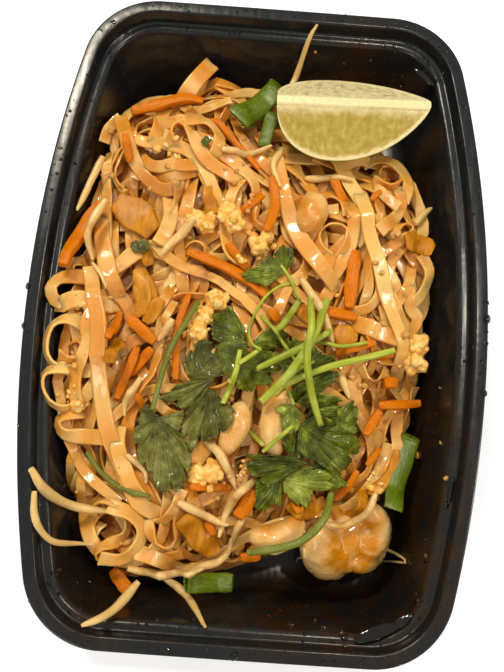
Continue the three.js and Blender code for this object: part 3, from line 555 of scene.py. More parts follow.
# Noodles that catch the eye, from the lowest to the highest: plan, width, bank, swing.
CHOSEN_NOODLES = [
    # The loops on the left ledge.
    ([(-59, 13.5), (-63, 14.5), (-66, 13), (-66.5, 9)], 5, 3, 0.2),
    ([(-50, 5), (-58, 8), (-66, 7.5), (-69.5, 4), (-69, -1), (-64, -2), (-50, 3)], 5.4, 2, 0.2),
    ([(-50, -1), (-61, -0.5), (-67, -3), (-69.5, -1)], 5.4, 2, 0.2),
    ([(-56, -9), (-63, -7.5), (-67.5, -9), (-69.5, -13), (-69.5, -18.5), (-67, -23), (-62, -24.5),
      (-50, -24)], 5.2, 9, 0.2),
    ([(-62, -15), (-58.5, -15), (-57, -19), (-60.5, -21.5), (-65, -20)], 5, 6, 0.2),
    ([(-62, -24), (-68.5, -26), (-69, -30.5), (-66, -36), (-61, -37), (-56, -33),
      (-52, -27)], 5, 7, 0.2),
    # The lower left.
    ([(-44, -46), (-54, -46), (-62, -45.5), (-64, -41), (-57, -38)], 5, 5, 0.2),
    ([(-58.5, -48.5), (-59.5, -53.5), (-60, -61), (-59, -66)], 3.6, 4, 0.6),
    ([(-56.5, -57.5), (-58.5, -63), (-60, -67)], 3.2, 0, 0.9),
    ([(-55.5, -58.5), (-55.5, -64), (-56, -68)], 3, 0, 0.8),
    ([(-55, -70), (-52, -77), (-49, -82), (-44, -87)], 5.2, 0, 0.2),
    ([(-50.5, -71.5), (-49.5, -68), (-46, -66.5), (-41, -68), (-38.5, -72.5), (-39, -76.5),
      (-42, -80), (-46.5, -82), (-48, -85), (-43, -87.5)], 5, 8, 0.2),
    ([(-44, -68), (-37, -70), (-33, -75.5), (-35, -81.5), (-40, -85.5), (-46, -85)], 5, 8, 0.2),
    ([(-34.5, -82.5), (-30, -83.5), (-25.5, -85.5), (-21.5, -89)], 5.4, 2, 0.2),
    ([(-32, -72), (-28.5, -78.5), (-24, -80.5), (-21.5, -77.5), (-21, -72), (-20.5, -64)], 4.4, 9, 0.3),
    ([(-28.5, -72.5), (-25.5, -71), (-22.5, -67), (-20.5, -61)], 4, 7, 0.3),
    # Down the left side.
    ([(-54, 3), (-57, -8.5), (-56, -15), (-56.5, -20.5), (-58.5, -25), (-59, -30.5), (-58, -37)],
     4.6, 3, 0.4),
    ([(-59, 12), (-56, 2), (-53, -7), (-51.5, -18), (-50, -30), (-47.5, -42), (-42, -54),
      (-35, -66), (-28, -70)], 5.6, 0, 0.3),
    ([(-44, -42), (-43, -50), (-38, -60), (-33, -66)], 5, 2, 0.3),
    ([(-58, 32), (-56, 22), (-53, 12), (-49.5, 5), (-46.5, -2)], 5.8, 1, 0.15),
    ([(-29.5, 9), (-33, 0.5), (-37, -6)], 3.6, 0, 0.4),
    ([(-29, 2), (-30.5, -3), (-34, -8)], 3, 0, 0.5),
    # The upper left.
    ([(-60, 60), (-59, 65), (-55, 70)], 4.2, 0, 0.5), ([(-58, 58), (-57.5, 51), (-57, 43)], 4, 0, 0.6),
    ([(-47.5, 35), (-41.5, 32.5), (-36, 36)], 4, 6, 0.3),
    ([(-33.5, 38), (-32.5, 31), (-35.5, 21)], 5.6, 1, 0.2),
    ([(-26, 47), (-26.5, 39), (-28.5, 27)], 4.6, 0, 0.5),
    ([(-28.5, 22), (-24, 24), (-19.5, 22), (-20, 17)], 4, 8, 0.2),
    ([(-40, 68), (-32, 67), (-23.5, 69.5), (-18.5, 64), (-18, 57), (-22, 50)], 4.8, 7, 0.2),
    ([(-41.5, 46.5), (-36, 44.5), (-30.5, 46), (-25, 50)], 4.4, 5, 0.2),
    ([(-49, 57), (-50, 66), (-46.5, 71.5), (-42, 70), (-40, 63), (-42, 56)], 4.8, 8, 0.2),
    ([(-57, 74), (-52.5, 64), (-48, 53), (-41.5, 44.5), (-34.5, 40.5), (-28, 43)], 5, 4, 0.2),
    ([(-46.5, 55), (-40.5, 49.5), (-31.5, 49), (-24, 52)], 4.6, 4, 0.2),
    ([(-32, 53), (-35, 59), (-34, 63.5), (-31, 64.5), (-27, 60.5), (-22, 53), (-14.5, 48.5),
      (-7, 45.5)], 5, 7, 0.1),
    ([(-28, 75), (-22, 78), (-15, 80)], 4, 4, 0.5),
    ([(-10, 69), (-5, 68.5), (-1.5, 63), (3.5, 58)], 4, 6, 0.3),
    ([(-8, 48), (-12, 41), (-13, 32)], 4, 3, 0.5),
    ([(-3.5, 36), (-3.5, 32), (0, 30), (5, 31.5)], 4, 8, 0.2),
    # The right side.
    ([(47.5, 51), (49.5, 44), (44.5, 36), (40, 31)], 4.8, 3, 0.3),
    ([(35, 52), (39, 47.5), (48, 43)], 4.4, 3, 0.4),
    ([(18, 44), (23, 47), (28, 44), (30, 38)], 4, 7, 0.3),
    ([(11, 36), (14.5, 41), (21, 50)], 4.4, 3, 0.3),
    ([(43, 22), (47, 15.5), (50, 9)], 4, 2, 0.5), ([(54.5, 25), (53, 16), (49, 8)], 4, 2, 0.5),
    ([(57, 26), (60, 19.5), (58, 12), (52, 6)], 4.4, 9, 0.2),
    ([(52, 14), (53.5, 7), (57, 3), (54, -3)], 4.4, 3, 0.4),
    ([(31, 0), (37, -2), (50, -5)], 5.6, 1, 0.2),
    ([(36.5, -16), (39.5, -20.5), (43, -20), (47, -14)], 4, 9, 0.2),
    ([(40, 56), (43, 61), (49, 59), (48, 52), (43, 50), (39, 53)], 4.4, 9, 0.2),
    ([(36, 62), (42, 64), (49, 60), (52, 54), (50, 46)], 4.8, 7, 0.2),
    ([(52, -25), (52, -43), (46, -56)], 4.6, 4, 0.5),
    ([(30, 45), (31.5, 34), (30, 24), (25, 14)], 4.6, 2, 0.3),
    ([(24, 22), (20, 25), (20, 31), (24, 34.5), (28.5, 32), (29, 26), (26, 19)], 4, 9, 0.1),
    ([(40, 23), (46, 28), (52, 32), (53, 35.5), (49, 36), (43.5, 31)], 4.6, 6, 0.2),
    ([(42, 17), (41.5, 10), (38.5, 5), (32, 3)], 4, 4, 0.4),
    ([(33.5, 49), (36.5, 32), (40.5, 20.5), (43, 12), (47, 3), (51.5, -8), (51, -18)], 5, 2, 0.25),
    ([(2.5, 60), (5, 50), (8.5, 38), (14, 26.5), (20, 18), (28, 11)], 5.8, 1, 0.15),
    ([(14, 52), (18, 44), (20, 36), (16, 28)], 4.4, 3, 0.4),
]
# Noodles that stick out of the heap: line with heights, width and lean.
RAISED_NOODLES = [
    ([(-36, 75, 26), (-33, 82, 31.5), (-30, 87.5, 33), (-26.5, 93, 32.5), (-24, 98, 30)], 6.6, 0.3),
    ([(-30, 75, 30), (-22, 80, 32), (-14, 82, 31)], 4.2, 0.9),
    ([(-20, 70, 34), (-16, 77, 35), (-17, 83, 33), (-24, 84, 30)], 3.6, 0.8),
]


# Layers of wandering noodles: slack over the heap's surface, longest, shortest, tries and arch.
LOWER_LAYER = (0.4, 190, 24, 6, 0.6)
MIDDLE_LAYER = (2.4, 240, 34, 8, 1.6)
UPPER_LAYER = (5.0, 280, 50, 8, 2.6)
# A wandering noodle: shares of the usual width, how it banks and swings, and its arches' spans.
WIDTH_SHARES, BANKS, SWINGS, ARCH_SPANS = (0.72, 1.22), (3, 16), (0.15, 1.15), (30, 90)
TUCK_CHANCE, TUCK_DEPTHS = 0.85, (2.5, 6)


class Heap:
    """The separate noodles, as strands, kept apart by how deep they lie."""

    def __init__(self, dish, settings):
        self.dish = dish
        self.draw = random.Random(settings.seed)
        self.strands = []
        self.width = settings.width / MM
        self.thickness = settings.thickness / MM

    def settled(self, points, roll, width, easing):
        """A noodle that has come to rest along a line."""
        noodle = Laid(points, roll, width, self.thickness * width / NOODLE_WIDTH)
        return noodle.settle(self.dish.ground, easing)

    def keep(self, noodle):
        """Adds a noodle to the heap, most often with its ends tucked in."""
        noodle.z = noodle.z.copy()
        for first in (True, False):
            if self.draw.random() < TUCK_CHANCE:
                noodle.dip_end(self.draw.uniform(*TUCK_DEPTHS), first)
        noodle.press_into(self.dish.ground)
        self.strands.append(noodle.strand())

    def emptiest_place(self, room):
        """A place where the heap is still far below its surface."""
        best = None
        for _ in range(60):
            row = self.draw.randrange(room.rows)
            column = self.draw.randrange(room.columns)
            if best is None or room.z[row, column] > room.z[best]:
                best = (row, column)
        x = (best[1] + 0.5) * room.CELL - room.HALF_X
        return x, (best[0] + 0.5) * room.CELL - room.HALF_Y

    def fill(self, count, slack, longest, shortest, tries, arch):
        """Lays wandering noodles from the emptiest places, the longest of a few tries each time."""
        draw = self.draw
        ceiling = self.dish.ceiling(slack)
        room = ceiling.copy()
        blocked = ceiling.copy()
        for _ in range(count):
            room.z = ceiling.z - self.dish.ground.z
            blocked.z = room.lowest_near(3).z < self.thickness
            length = draw.uniform(0.5, 1) * longest
            width = self.width * draw.uniform(*WIDTH_SHARES)
            best = None
            for _ in range(tries):
                points = wandering_path(draw, self.emptiest_place(room), length, blocked)
                if len(points) < 5:
                    continue
                bank = draw.choice((-1, 1)) * draw.uniform(*BANKS)
                roll = rolled(points, draw, bank, draw.uniform(*SWINGS))
                noodle = self.settled(points, roll, width, 7)
                noodle.arch(draw.uniform(0, arch), draw.uniform(*ARCH_SPANS), draw.uniform(0, FULL_TURN))
                noodle = noodle.clear_part(ceiling)
                if best is None or len(noodle.points) > len(best.points):
                    best = noodle
            if best is not None and len(best.points) * STRIDE >= shortest:
                self.keep(best)

    def lay_chosen(self):
        """Lays the noodles that catch the eye on top of the wandering ones."""
        for plan, width, roll in RAISED_NOODLES:
            points = smooth_line(plan, STRIDE)
            noodle = Laid(points[:, :2], np.full(len(points), roll), width, self.thickness)
            noodle.z = points[:, 2]
            noodle.press_into(self.dish.ground)
            self.strands.append(noodle.strand())
        for plan, width, bank, swing in CHOSEN_NOODLES:
            points = smooth_line(plan, STRIDE)
            self.keep(self.settled(points, rolled(points, self.draw, bank, swing), width, 5))


# Where the sauce has browned the noodles: place and reach.
GLAZED_PLACES = [
    (34, -46, 13), (44, -22, 9), (-42, 6, 9), (-48, 40, 8), (-15, -72, 12), (-40, -16, 8), (18, 0, 8),
    (-8, 66, 8), (54, 27, 7), (-20, 14, 7), (0, -50, 9), (24, -62, 9), (-30, 76, 7), (-30, 40, 5),
]


def noodle_mesh(strands, draw, cover):
    """The noodles' mesh, which knows each noodle's tone and how deep each place lies, for the painted
    shade of the heap's depths.
    """
    mesh = swept_mesh(strands, NOODLE_SECTION)
    numbers = strand_numbers(mesh)
    tones = np.array([draw.random() for _ in strands])
    face_values(mesh, "tone", tones[numbers])
    places = coordinates(mesh)
    # How deep each point lies under the heap's blurred top, which the material turns into painted shade.
    point_values(mesh, "depth", cover.at(places[:, 0], places[:, 1]) - places[:, 2])
    point_values(mesh, "glaze", [patches(GLAZED_PLACES, x, y) for x, y, _ in places])
    return mesh


# ---- Reworked meshes ----

def applied(mesh, *steps):
    """The mesh after some modifiers, each given as its type and its settings."""
    holder = linked("holder", mesh)
    for kind, settings in steps:
        modifier = holder.modifiers.new(kind, kind)
        for key, value in settings.items():
            setattr(modifier, key, value)
    ready = bpy.context.evaluated_depsgraph_get()
    result = bpy.data.meshes.new_from_object(holder.evaluated_get(ready))
    bpy.data.objects.remove(holder)
    return result


def to_mesh(shape):
    """A mesh with a bmesh's shape, in its place."""
    mesh = bpy.data.meshes.new("shape")
    shape.to_mesh(mesh)
    shape.free()
    return mesh


def evened(shape, voxel, smoothing):
    """An even mesh in place of a bmesh, smoothed a few times."""
    bmesh.ops.recalc_face_normals(shape, faces=shape.faces)
    remesh = ("REMESH", {"mode": "VOXEL", "voxel_size": voxel * MM})
    return applied(to_mesh(shape), remesh, ("SMOOTH", {"iterations": smoothing}))


def pushed(mesh, push):
    """Moves each point along its normal by push(place), in millimetres."""
    shape = bmesh.new()
    shape.from_mesh(mesh)
    shape.normal_update()
    moves = [(v, v.normal * push(v.co / MM) * MM) for v in shape.verts]
    for vertex, move in moves:
        vertex.co += move
    shape.to_mesh(mesh)
    shape.free()
    return mesh


def kept_inside(mesh):
    """Moves points that would come out through the tray's wall back inside it."""
    tray = solid_tree("tray")
    for point in mesh.vertices:
        outwards = Vector((point.co.x, point.co.y, 0)).normalized()
        skin = point.co + outwards * PLASTIC * MM
        if point.co.z > LEDGE_TOP * MM or tray.ray_cast(skin, outwards)[0] is not None:
            continue
        wall = tray.ray_cast(Vector((0, 0, point.co.z)), outwards)[0]
        if wall is not None:
            point.co = wall - outwards * PLASTIC * MM
    return mesh


def lumps(place, *octaves):
    """Noise summed from pairs of size and height in millimetres."""
    return sum(height * noise.noise(place / size) for size, height in octaves)


def add_sheet(shape, columns, rows, place, names=()):
    """Adds a grid whose corners go where place(s, t) says, and joins its edges that meet.

    place gives x, y, z and then a number for each name, which is kept as a point attribute.
    """
    layers = [shape.verts.layers.float.get(name) or shape.verts.layers.float.new(name)
              for name in names]
    grid = bmesh.ops.create_grid(shape, x_segments=columns, y_segments=rows, size=0.5,
                                 calc_uvs=True)
    for vertex in grid["verts"]:
        values = place(min(1, max(0, vertex.co.x + 0.5)), min(1, max(0, vertex.co.y + 0.5)))
        vertex.co = Vector(values[:3]) * MM
        for layer, value in zip(layers, values[3:]):
            vertex[layer] = value
    bmesh.ops.remove_doubles(shape, verts=grid["verts"], dist=0.00001)


def sheet_bmesh():
    """An empty bmesh that can keep its sheets' own coordinates."""
    shape = bmesh.new()
    shape.loops.layers.uv.new("UVMap")
    return shape


# ---- Materials ----

class Recipe:
    """One material, put together from procedural nodes."""

    def __init__(self, name, **constants):
        self.material = bpy.data.materials.new(name)
        self.material.use_nodes = True
        self.tree = self.material.node_tree
        self.shader = self.tree.nodes["Principled BSDF"]
        for key, value in constants.items():
            self.shader.inputs[key.replace("_", " ")].default_value = value

    def feed(self, socket, value):
        """Links a socket to another node's output, or sets it to a plain value."""
        if isinstance(value, bpy.types.NodeSocket):
            self.tree.links.new(value, socket)
        else:
            socket.default_value = value

    def node(self, kind, inputs=(), **settings):
        node = self.tree.nodes.new("ShaderNode" + kind)
        for key, value in settings.items():
            setattr(node, key, value)
        for key, value in dict(inputs).items():
            self.feed(node.inputs[key], value)
        return node

    def place(self):
        return self.node("TexCoord").outputs["Object"]

    def uv(self):
        return self.node("TexCoord").outputs["UV"]

    def attribute(self, name):
        return self.node("Attribute", attribute_name=name).outputs["Fac"]

    def stretched(self, vector, x, y, z):
        """A vector with its parts multiplied."""
        return self.node("Mapping", {"Vector": vector, "Scale": (x, y, z)}).outputs["Vector"]

    def noise(self, size, vector=None, detail=3.0, roughness=0.55, distortion=0.0):
        """Noise with features of about a size in millimetres."""
        inputs = {"Vector": vector or self.place(), "Scale": 1 / (size * MM), "Detail": detail,
                  "Roughness": roughness, "Distortion": distortion}
        return self.node("TexNoise", inputs).outputs["Fac"]

    def plain_noise(self, scale, vector, detail=3.0):
        inputs = {"Vector": vector, "Scale": scale, "Detail": detail}
        return self.node("TexNoise", inputs).outputs["Fac"]

    def cells(self, size, vector=None, feature="F1"):
        inputs = {"Vector": vector or self.place(), "Scale": 1 / (size * MM)}
        return self.node("TexVoronoi", inputs, feature=feature).outputs["Distance"]

    def band(self, value, low, high, start=0.0, end=1.0):
        """The value's place between low and high, as a number from start to end."""
        inputs = {"Value": value, "From Min": low, "From Max": high, "To Min": start, "To Max": end}
        return self.node("MapRange", inputs).outputs["Result"]

    def spread(self, value, start, end):
        """Noise, which lies mostly between 0.3 and 0.7, as a number from start to end."""
        return self.band(value, 0.3, 0.7, start, end)

    def sum(self, kind, a, b):
        """Two numbers added, or put together in another way that a Math node knows."""
        return self.node("Math", {0: a, 1: b}, operation=kind).outputs["Value"]

    def ramp(self, value, *stops):
        """A colour for a value, between stops that are each a position and a colour."""
        ramp = self.node("ValToRGB", {"Fac": value})
        elements = ramp.color_ramp.elements
        while len(elements) < len(stops):
            elements.new(0.5)
        for element, (position, colour) in zip(elements, stops):
            element.position = position
            element.color = rgba(colour)
        return ramp.outputs["Color"]

    def mix(self, factor, a, b, blend="MIX"):
        node = self.node("Mix", data_type="RGBA", blend_type=blend)
        self.feed(node.inputs["Factor"], factor)
        self.feed(node.inputs[6], a)
        self.feed(node.inputs[7], b)
        return node.outputs[2]

    def bump(self, height, depth, strength=1.0, normal=None):
        """Bump of about a depth in millimetres."""
        inputs = {"Height": height, "Distance": depth * MM, "Strength": strength}
        if normal is not None:
            inputs["Normal"] = normal
        return self.node("Bump", inputs).outputs["Normal"]

    def use(self, colour, roughness=None, normal=None, **more):
        """The finished material, with what feeds its shader."""
        self.feed(self.shader.inputs["Base Color"], colour)
        if roughness is not None:
            self.feed(self.shader.inputs["Roughness"], roughness)
        if normal is not None:
            self.feed(self.shader.inputs["Normal"], normal)
        for key, value in more.items():
            self.feed(self.shader.inputs[key.replace("_", " ")], value)
        return self.material


def translucent(recipe, weight, reach, tint):
    """Lets light into a wet soft material, by a reach in millimetres."""
    recipe.shader.inputs["Subsurface Weight"].default_value = weight
    recipe.shader.inputs["Subsurface Radius"].default_value = tint
    recipe.shader.inputs["Subsurface Scale"].default_value = reach * MM


def noodle_material():
    recipe = Recipe("rice_noodle", Specular_IOR_Level=0.2, Coat_Weight=1.0, Coat_Roughness=0.05)
    translucent(recipe, 0.6, 2.2, (1.0, 0.8, 0.5))
    tone = recipe.ramp(recipe.attribute("tone"), (0.0, "ebba68"), (0.5, "e3a348"), (1.0, "d2882c"))
    blotch = recipe.band(recipe.noise(16, detail=4), 0.42, 0.68)
    colour = recipe.mix(recipe.band(blotch, 0, 1, 0, 0.6), tone, rgba("da9638"))
    uneven = recipe.spread(recipe.noise(5, detail=3), -1.6, 1.6)
    # Painted highlight: each noodle is coloured paler along its edges, standing in for light shining
    # through the thin edges.
    round_section = recipe.node("SeparateXYZ", {"Vector": recipe.uv()}).outputs["X"]
    to_edge = recipe.sum("PINGPONG", round_section, 0.25)
    colour = recipe.mix(recipe.band(to_edge, 0.04, 0.15, 0.5, 0), colour, rgba("f2cd84"))
    # Painted shade: the deeper a place lies under the heap's top, the darker and more amber it is
    # coloured; partly this also stands for sauce pooled low in the heap.
    deep = recipe.band(recipe.sum("ADD", recipe.attribute("depth"), uneven), 1.2, 6.5)
    colour = recipe.mix(deep, colour, rgba("d2882c"))
    glazed = recipe.sum("MULTIPLY", recipe.attribute("glaze"),
                        recipe.band(recipe.noise(4, detail=4), 0.35, 0.6, 0.2, 1))
    colour = recipe.mix(glazed, colour, rgba("a4600f"))
    speck = recipe.band(recipe.cells(4.2), 0.05, 0.11, 0.7, 0)
    colour = recipe.mix(speck, colour, rgba("b06a1c"))
    # Painted highlights: small pale flecks stand in for glints on the wet noodles, and also pass for
    # flecks of starch.
    painted_glint_flecks = recipe.band(recipe.cells(2.6), 0.05, 0.09, 0.6, 0)
    colour = recipe.mix(painted_glint_flecks, colour, rgba("fff0cc"))
    streak = recipe.plain_noise(9, recipe.stretched(recipe.uv(), 6, 1.2, 1), 2)
    normal = recipe.bump(streak, 0.1, 0.5, recipe.bump(recipe.noise(3.5, detail=3), 0.3, 0.5))
    wet = recipe.bump(recipe.noise(2.2, detail=3), 0.25, 0.8, normal)
    return recipe.use(colour, recipe.spread(recipe.noise(5), 0.35, 0.55), normal,
                      Coat_Normal=wet)


def core_material():
    recipe = Recipe("noodle_core", Roughness=0.35)
    translucent(recipe, 0.3, 2.5, (1.0, 0.45, 0.12))
    # Painted shade: the core's colours are darker and more amber than the noodles' own tones, for the
    # shade deep in the heap under them.
    colour = recipe.ramp(recipe.noise(6, detail=5), (0.3, "b87022"), (0.7, "e2a650"))
    return recipe.use(colour, normal=recipe.bump(recipe.noise(3), 1.0))


def tray_material():
    recipe = Recipe("black_tray", Specular_IOR_Level=0.36)
    sauce = recipe.sum("MULTIPLY", recipe.attribute("sauce"),
                       recipe.band(recipe.noise(7, detail=6, distortion=0.6), 0.35, 0.62))
    colour = recipe.mix(sauce, recipe.ramp(recipe.noise(30), (0.3, "15171a"), (0.7, "1c2023")),
                        rgba("2e1d0c"))
    scuff = recipe.noise(1.4, recipe.stretched(recipe.place(), 1, 0.08, 1), detail=5)
    worn = recipe.band(scuff, 0.35, 0.7, 0.16, 0.3)
    normal = recipe.bump(recipe.noise(8, detail=2), 0.25, 0.5, recipe.bump(scuff, 0.02, 0.5))
    return recipe.use(colour, worn, normal)


def water_material():
    recipe = Recipe("water", Roughness=0.02, IOR=1.33, Transmission_Weight=1.0, Coat_Weight=0.6,
                    Coat_IOR=1.5, Coat_Roughness=0.02)
    # Painted shade: the clear water is tinted dark grey, so that the drops look dark on the black
    # plastic instead of showing the bright ledge through them.
    colour = recipe.ramp(recipe.noise(4), (0.0, "565048"), (1.0, "6a645a"))
    return recipe.use(colour, normal=recipe.bump(recipe.noise(2.5, detail=2), 0.25, 0.8))


def carrot_material():
    recipe = Recipe("carrot", Specular_IOR_Level=0.15)
    translucent(recipe, 0.15, 1.4, (1.0, 0.4, 0.06))
    grain = recipe.plain_noise(12, recipe.stretched(recipe.uv(), 1, 5, 1), 4)
    colour = recipe.ramp(grain, (0.25, "b85c02"), (0.55, "d07405"), (0.8, "e4921e"))
    colour = recipe.mix(recipe.band(recipe.noise(5), 0.5, 0.75, 0, 0.6), colour, rgba("c46804"))
    return recipe.use(colour, recipe.spread(grain, 0.28, 0.42), recipe.bump(grain, 0.25, 0.7))


def sprout_material():
    recipe = Recipe("bean_sprout", Specular_IOR_Level=0.5)
    translucent(recipe, 0.7, 2.4, (1.0, 0.8, 0.5))
    fibre = recipe.plain_noise(14, recipe.stretched(recipe.uv(), 1, 6, 1), 3)
    colour = recipe.ramp(fibre, (0.3, "d0a862"), (0.7, "e8cb90"))
    colour = recipe.mix(recipe.band(recipe.noise(10), 0.5, 0.7), colour, rgba("c0924a"))
    return recipe.use(colour, recipe.spread(fibre, 0.16, 0.34), recipe.bump(fibre, 0.1, 0.5))


def stem_material():
    recipe = Recipe("cilantro_stem", Specular_IOR_Level=0.5)
    translucent(recipe, 0.2, 1.4, (0.9, 1.0, 0.2))
    rib = recipe.plain_noise(7, recipe.stretched(recipe.uv(), 0.4, 7, 1), 2)
    colour = recipe.ramp(rib, (0.3, "85960e"), (0.5, "aebd2c"), (0.72, "dde27c"))
    colour = recipe.mix(recipe.band(recipe.noise(18), 0.45, 0.7), colour, rgba("8f9822"))
    speckled = recipe.band(recipe.cells(1.2), 0.1, 0.3, 0.4, 1)
    dull = recipe.mix(speckled, rgba("b4b070"), rgba("5c6418"))
    colour = recipe.mix(recipe.attribute("dull"), colour, dull)
    return recipe.use(colour, recipe.spread(rib, 0.25, 0.4), recipe.bump(rib, 0.3, 0.8))


def scallion_material():
    recipe = Recipe("scallion", Specular_IOR_Level=0.5)
    translucent(recipe, 0.15, 1.4, (0.9, 1.0, 0.2))
    rib = recipe.plain_noise(26, recipe.stretched(recipe.uv(), 0.25, 5, 1), 2)
    colour = recipe.ramp(rib, (0.25, "445804"), (0.55, "5e720a"), (0.85, "909c34"))
    return recipe.use(colour, recipe.spread(rib, 0.22, 0.36), recipe.bump(rib, 0.25, 0.7))


def leaf_material(name, dark, middle, pale):
    recipe = Recipe(name, Specular_IOR_Level=0.2, Coat_Weight=0.45, Coat_Roughness=0.06)
    translucent(recipe, 0.08, 0.8, (0.9, 1.0, 0.2))
    large = recipe.spread(recipe.noise(9, detail=1), -0.22, 0.22)
    colour = recipe.ramp(recipe.sum("ADD", recipe.noise(2.6, detail=5), large),
                         (0.3, dark), (0.6, middle), (0.85, pale))
    net = recipe.band(recipe.cells(0.9, feature="DISTANCE_TO_EDGE"), 0.0, 0.16, 0.3, 0)
    vein = recipe.sum("MAXIMUM", recipe.attribute("vein"), net)
    colour = recipe.mix(recipe.band(vein, 0, 1, 0, 0.4), colour, rgba(pale))
    height = recipe.sum("SUBTRACT", recipe.noise(1.2, detail=4), vein)
    return recipe.use(colour, recipe.spread(recipe.noise(3), 0.34, 0.6),
                      recipe.bump(height, 0.35, 0.8))


def egg_material():
    recipe = Recipe("scrambled_egg", Specular_IOR_Level=0.4)
    translucent(recipe, 0.3, 1.4, (1.0, 0.7, 0.25))
    colour = recipe.ramp(recipe.noise(2.4, detail=6), (0.3, "dc9226"), (0.48, "f2bb5a"),
                         (0.7, "fbde9c"))
    return recipe.use(colour, recipe.spread(recipe.noise(2), 0.32, 0.6),
                      recipe.bump(recipe.noise(0.9, detail=5), 0.5, 0.8))


def peanut_material():
    recipe = Recipe("peanut", Specular_IOR_Level=0.4)
    translucent(recipe, 0.2, 1.2, (1.0, 0.6, 0.3))
    colour = recipe.ramp(recipe.noise(2, detail=5), (0.3, "bc7c2a"), (0.7, "e0b268"))
    return recipe.use(colour, recipe.spread(recipe.noise(2), 0.35, 0.6),
                      recipe.bump(recipe.noise(0.8, detail=4), 0.3, 0.8))


def shrimp_material():
    recipe = Recipe("shrimp", Specular_IOR_Level=0.4, Coat_Weight=0.4, Coat_Roughness=0.05)
    translucent(recipe, 0.35, 2.4, (1.0, 0.8, 0.45))
    flesh = recipe.ramp(recipe.noise(6, detail=3), (0.3, "e0b062"), (0.7, "f0d296"))
    patchy = recipe.band(recipe.noise(5, detail=5, distortion=0.6), 0.35, 0.52, 0.45, 1)
    stain = recipe.sum("MULTIPLY", recipe.attribute("stain"), patchy)
    colour = recipe.mix(stain, flesh, rgba("cc8208"))
    return recipe.use(colour, recipe.spread(recipe.noise(3), 0.2, 0.42),
                      recipe.bump(recipe.noise(0.9, detail=4), 0.25, 0.7))


def onion_material():
    recipe = Recipe("cooked_onion", Specular_IOR_Level=0.1, Coat_Weight=0.25, Coat_Roughness=0.05)
    translucent(recipe, 0.2, 1.2, (1.0, 0.7, 0.3))
    fibre = recipe.noise(1.6, recipe.stretched(recipe.place(), 1.0, 0.3, 1), detail=4)
    tint = recipe.sum("ADD", fibre, recipe.spread(recipe.noise(7), -0.15, 0.15))
    colour = recipe.ramp(tint, (0.3, "a46406"), (0.55, "be7c12"), (0.8, "d09228"))
    wet = recipe.bump(recipe.noise(0.9, detail=4), 0.3, 0.9)
    return recipe.use(colour, recipe.spread(fibre, 0.3, 0.45), recipe.bump(fibre, 0.15, 0.5),
                      Coat_Normal=wet)


def lime_material():
    recipe = Recipe("lime", Specular_IOR_Level=0.5)
    translucent(recipe, 0.35, 2.2, (0.9, 1.0, 0.4))
    rim, core, back = (recipe.attribute(name) for name in ("rim", "core", "back"))
    juice = recipe.stretched(recipe.uv(), 20, 9, 1)
    vesicle = recipe.plain_noise(1.9, juice, 3)
    flesh = recipe.ramp(vesicle, (0.3, "a68f3a"), (0.5, "b19a44"), (0.64, "bba555"),
                        (0.78, "d0bd80"))
    streaks = recipe.plain_noise(1.2, recipe.stretched(recipe.uv(), 24, 16, 1), 4)
    skinned = recipe.ramp(streaks, (0.3, "b5a87c"), (0.5, "d8cc9c"), (0.7, "e4dab0"))
    flesh = recipe.mix(back, flesh, skinned)
    white = rgba("e4d5a4")
    edge = recipe.sum("ADD", rim, recipe.spread(recipe.noise(2.5), -0.5, 0.5))
    colour = recipe.mix(recipe.band(edge, 0.9, 2.2, 1, 0), flesh, white)
    middle = recipe.sum("ADD", core, recipe.spread(recipe.noise(5, detail=5), -1.6, 1.0))
    colour = recipe.mix(recipe.band(middle, 0.2, 3.6, 0.85, 0), colour, rgba("e8dcae"))
    skin = recipe.ramp(recipe.noise(3, detail=5), (0.3, "6a7a14"), (0.7, "98a038"))
    colour = recipe.mix(recipe.band(rim, -0.1, 0.4, 1, 0), colour, skin)
    pores = recipe.bump(recipe.cells(1.1), 0.2, 0.4)
    normal = recipe.bump(vesicle, 0.5, 0.6, pores)
    return recipe.use(colour, recipe.spread(vesicle, 0.2, 0.4), normal)


# ---- Tray ----

TRAY_HALF_LENGTH, TRAY_HALF_WIDTH, TRAY_HEIGHT = 111.0, 77.4, 48.0
LONG_SIDE_BOW, SHORT_SIDE_BOW, CORNER_RADIUS = 14.9, 0.35, 26.4
FLANGE_INSET, LEDGE_TOP, WALL_TOP, WALL_FOOT = 4.7, 42.1, 8.3, 13.3
PLASTIC, FOOT_HEIGHT, FOOT_CURVE, LIP_DROP = 0.8, 10.0, 10.5, 2.6
# The tray's section from the floor's middle outwards, over the flange and back underneath:
# inset from the rim, height, and how much the corner is rounded.
TRAY_SECTION = [
    (40, 1.0, 0), (WALL_FOOT + FOOT_CURVE - 1, 1.0, 6), (WALL_FOOT + 1, 4.2, 5),
    (WALL_FOOT - 0.2, FOOT_HEIGHT + 1, 4), (WALL_TOP + 0.2, LEDGE_TOP - 0.1, 1.7),
    (FLANGE_INSET + 0.3, LEDGE_TOP, 0.8), (FLANGE_INSET - 0.2, TRAY_HEIGHT - 0.1, 0.7),
    (0.1, TRAY_HEIGHT, 0.7), (0, TRAY_HEIGHT - LIP_DROP, 0.25),
    (PLASTIC, TRAY_HEIGHT - LIP_DROP, 0.2), (PLASTIC, TRAY_HEIGHT - PLASTIC, 0.2),
    (FLANGE_INSET - PLASTIC, TRAY_HEIGHT - PLASTIC, 0.3),
    (FLANGE_INSET - PLASTIC, LEDGE_TOP - PLASTIC, 0.4), (WALL_TOP - PLASTIC, LEDGE_TOP - PLASTIC, 0.6),
    (WALL_FOOT - PLASTIC, FOOT_HEIGHT, 4), (WALL_FOOT + 1, 3.2, 5),
    (WALL_FOOT + FOOT_CURVE, 0, 6), (40, 0, 0),
]
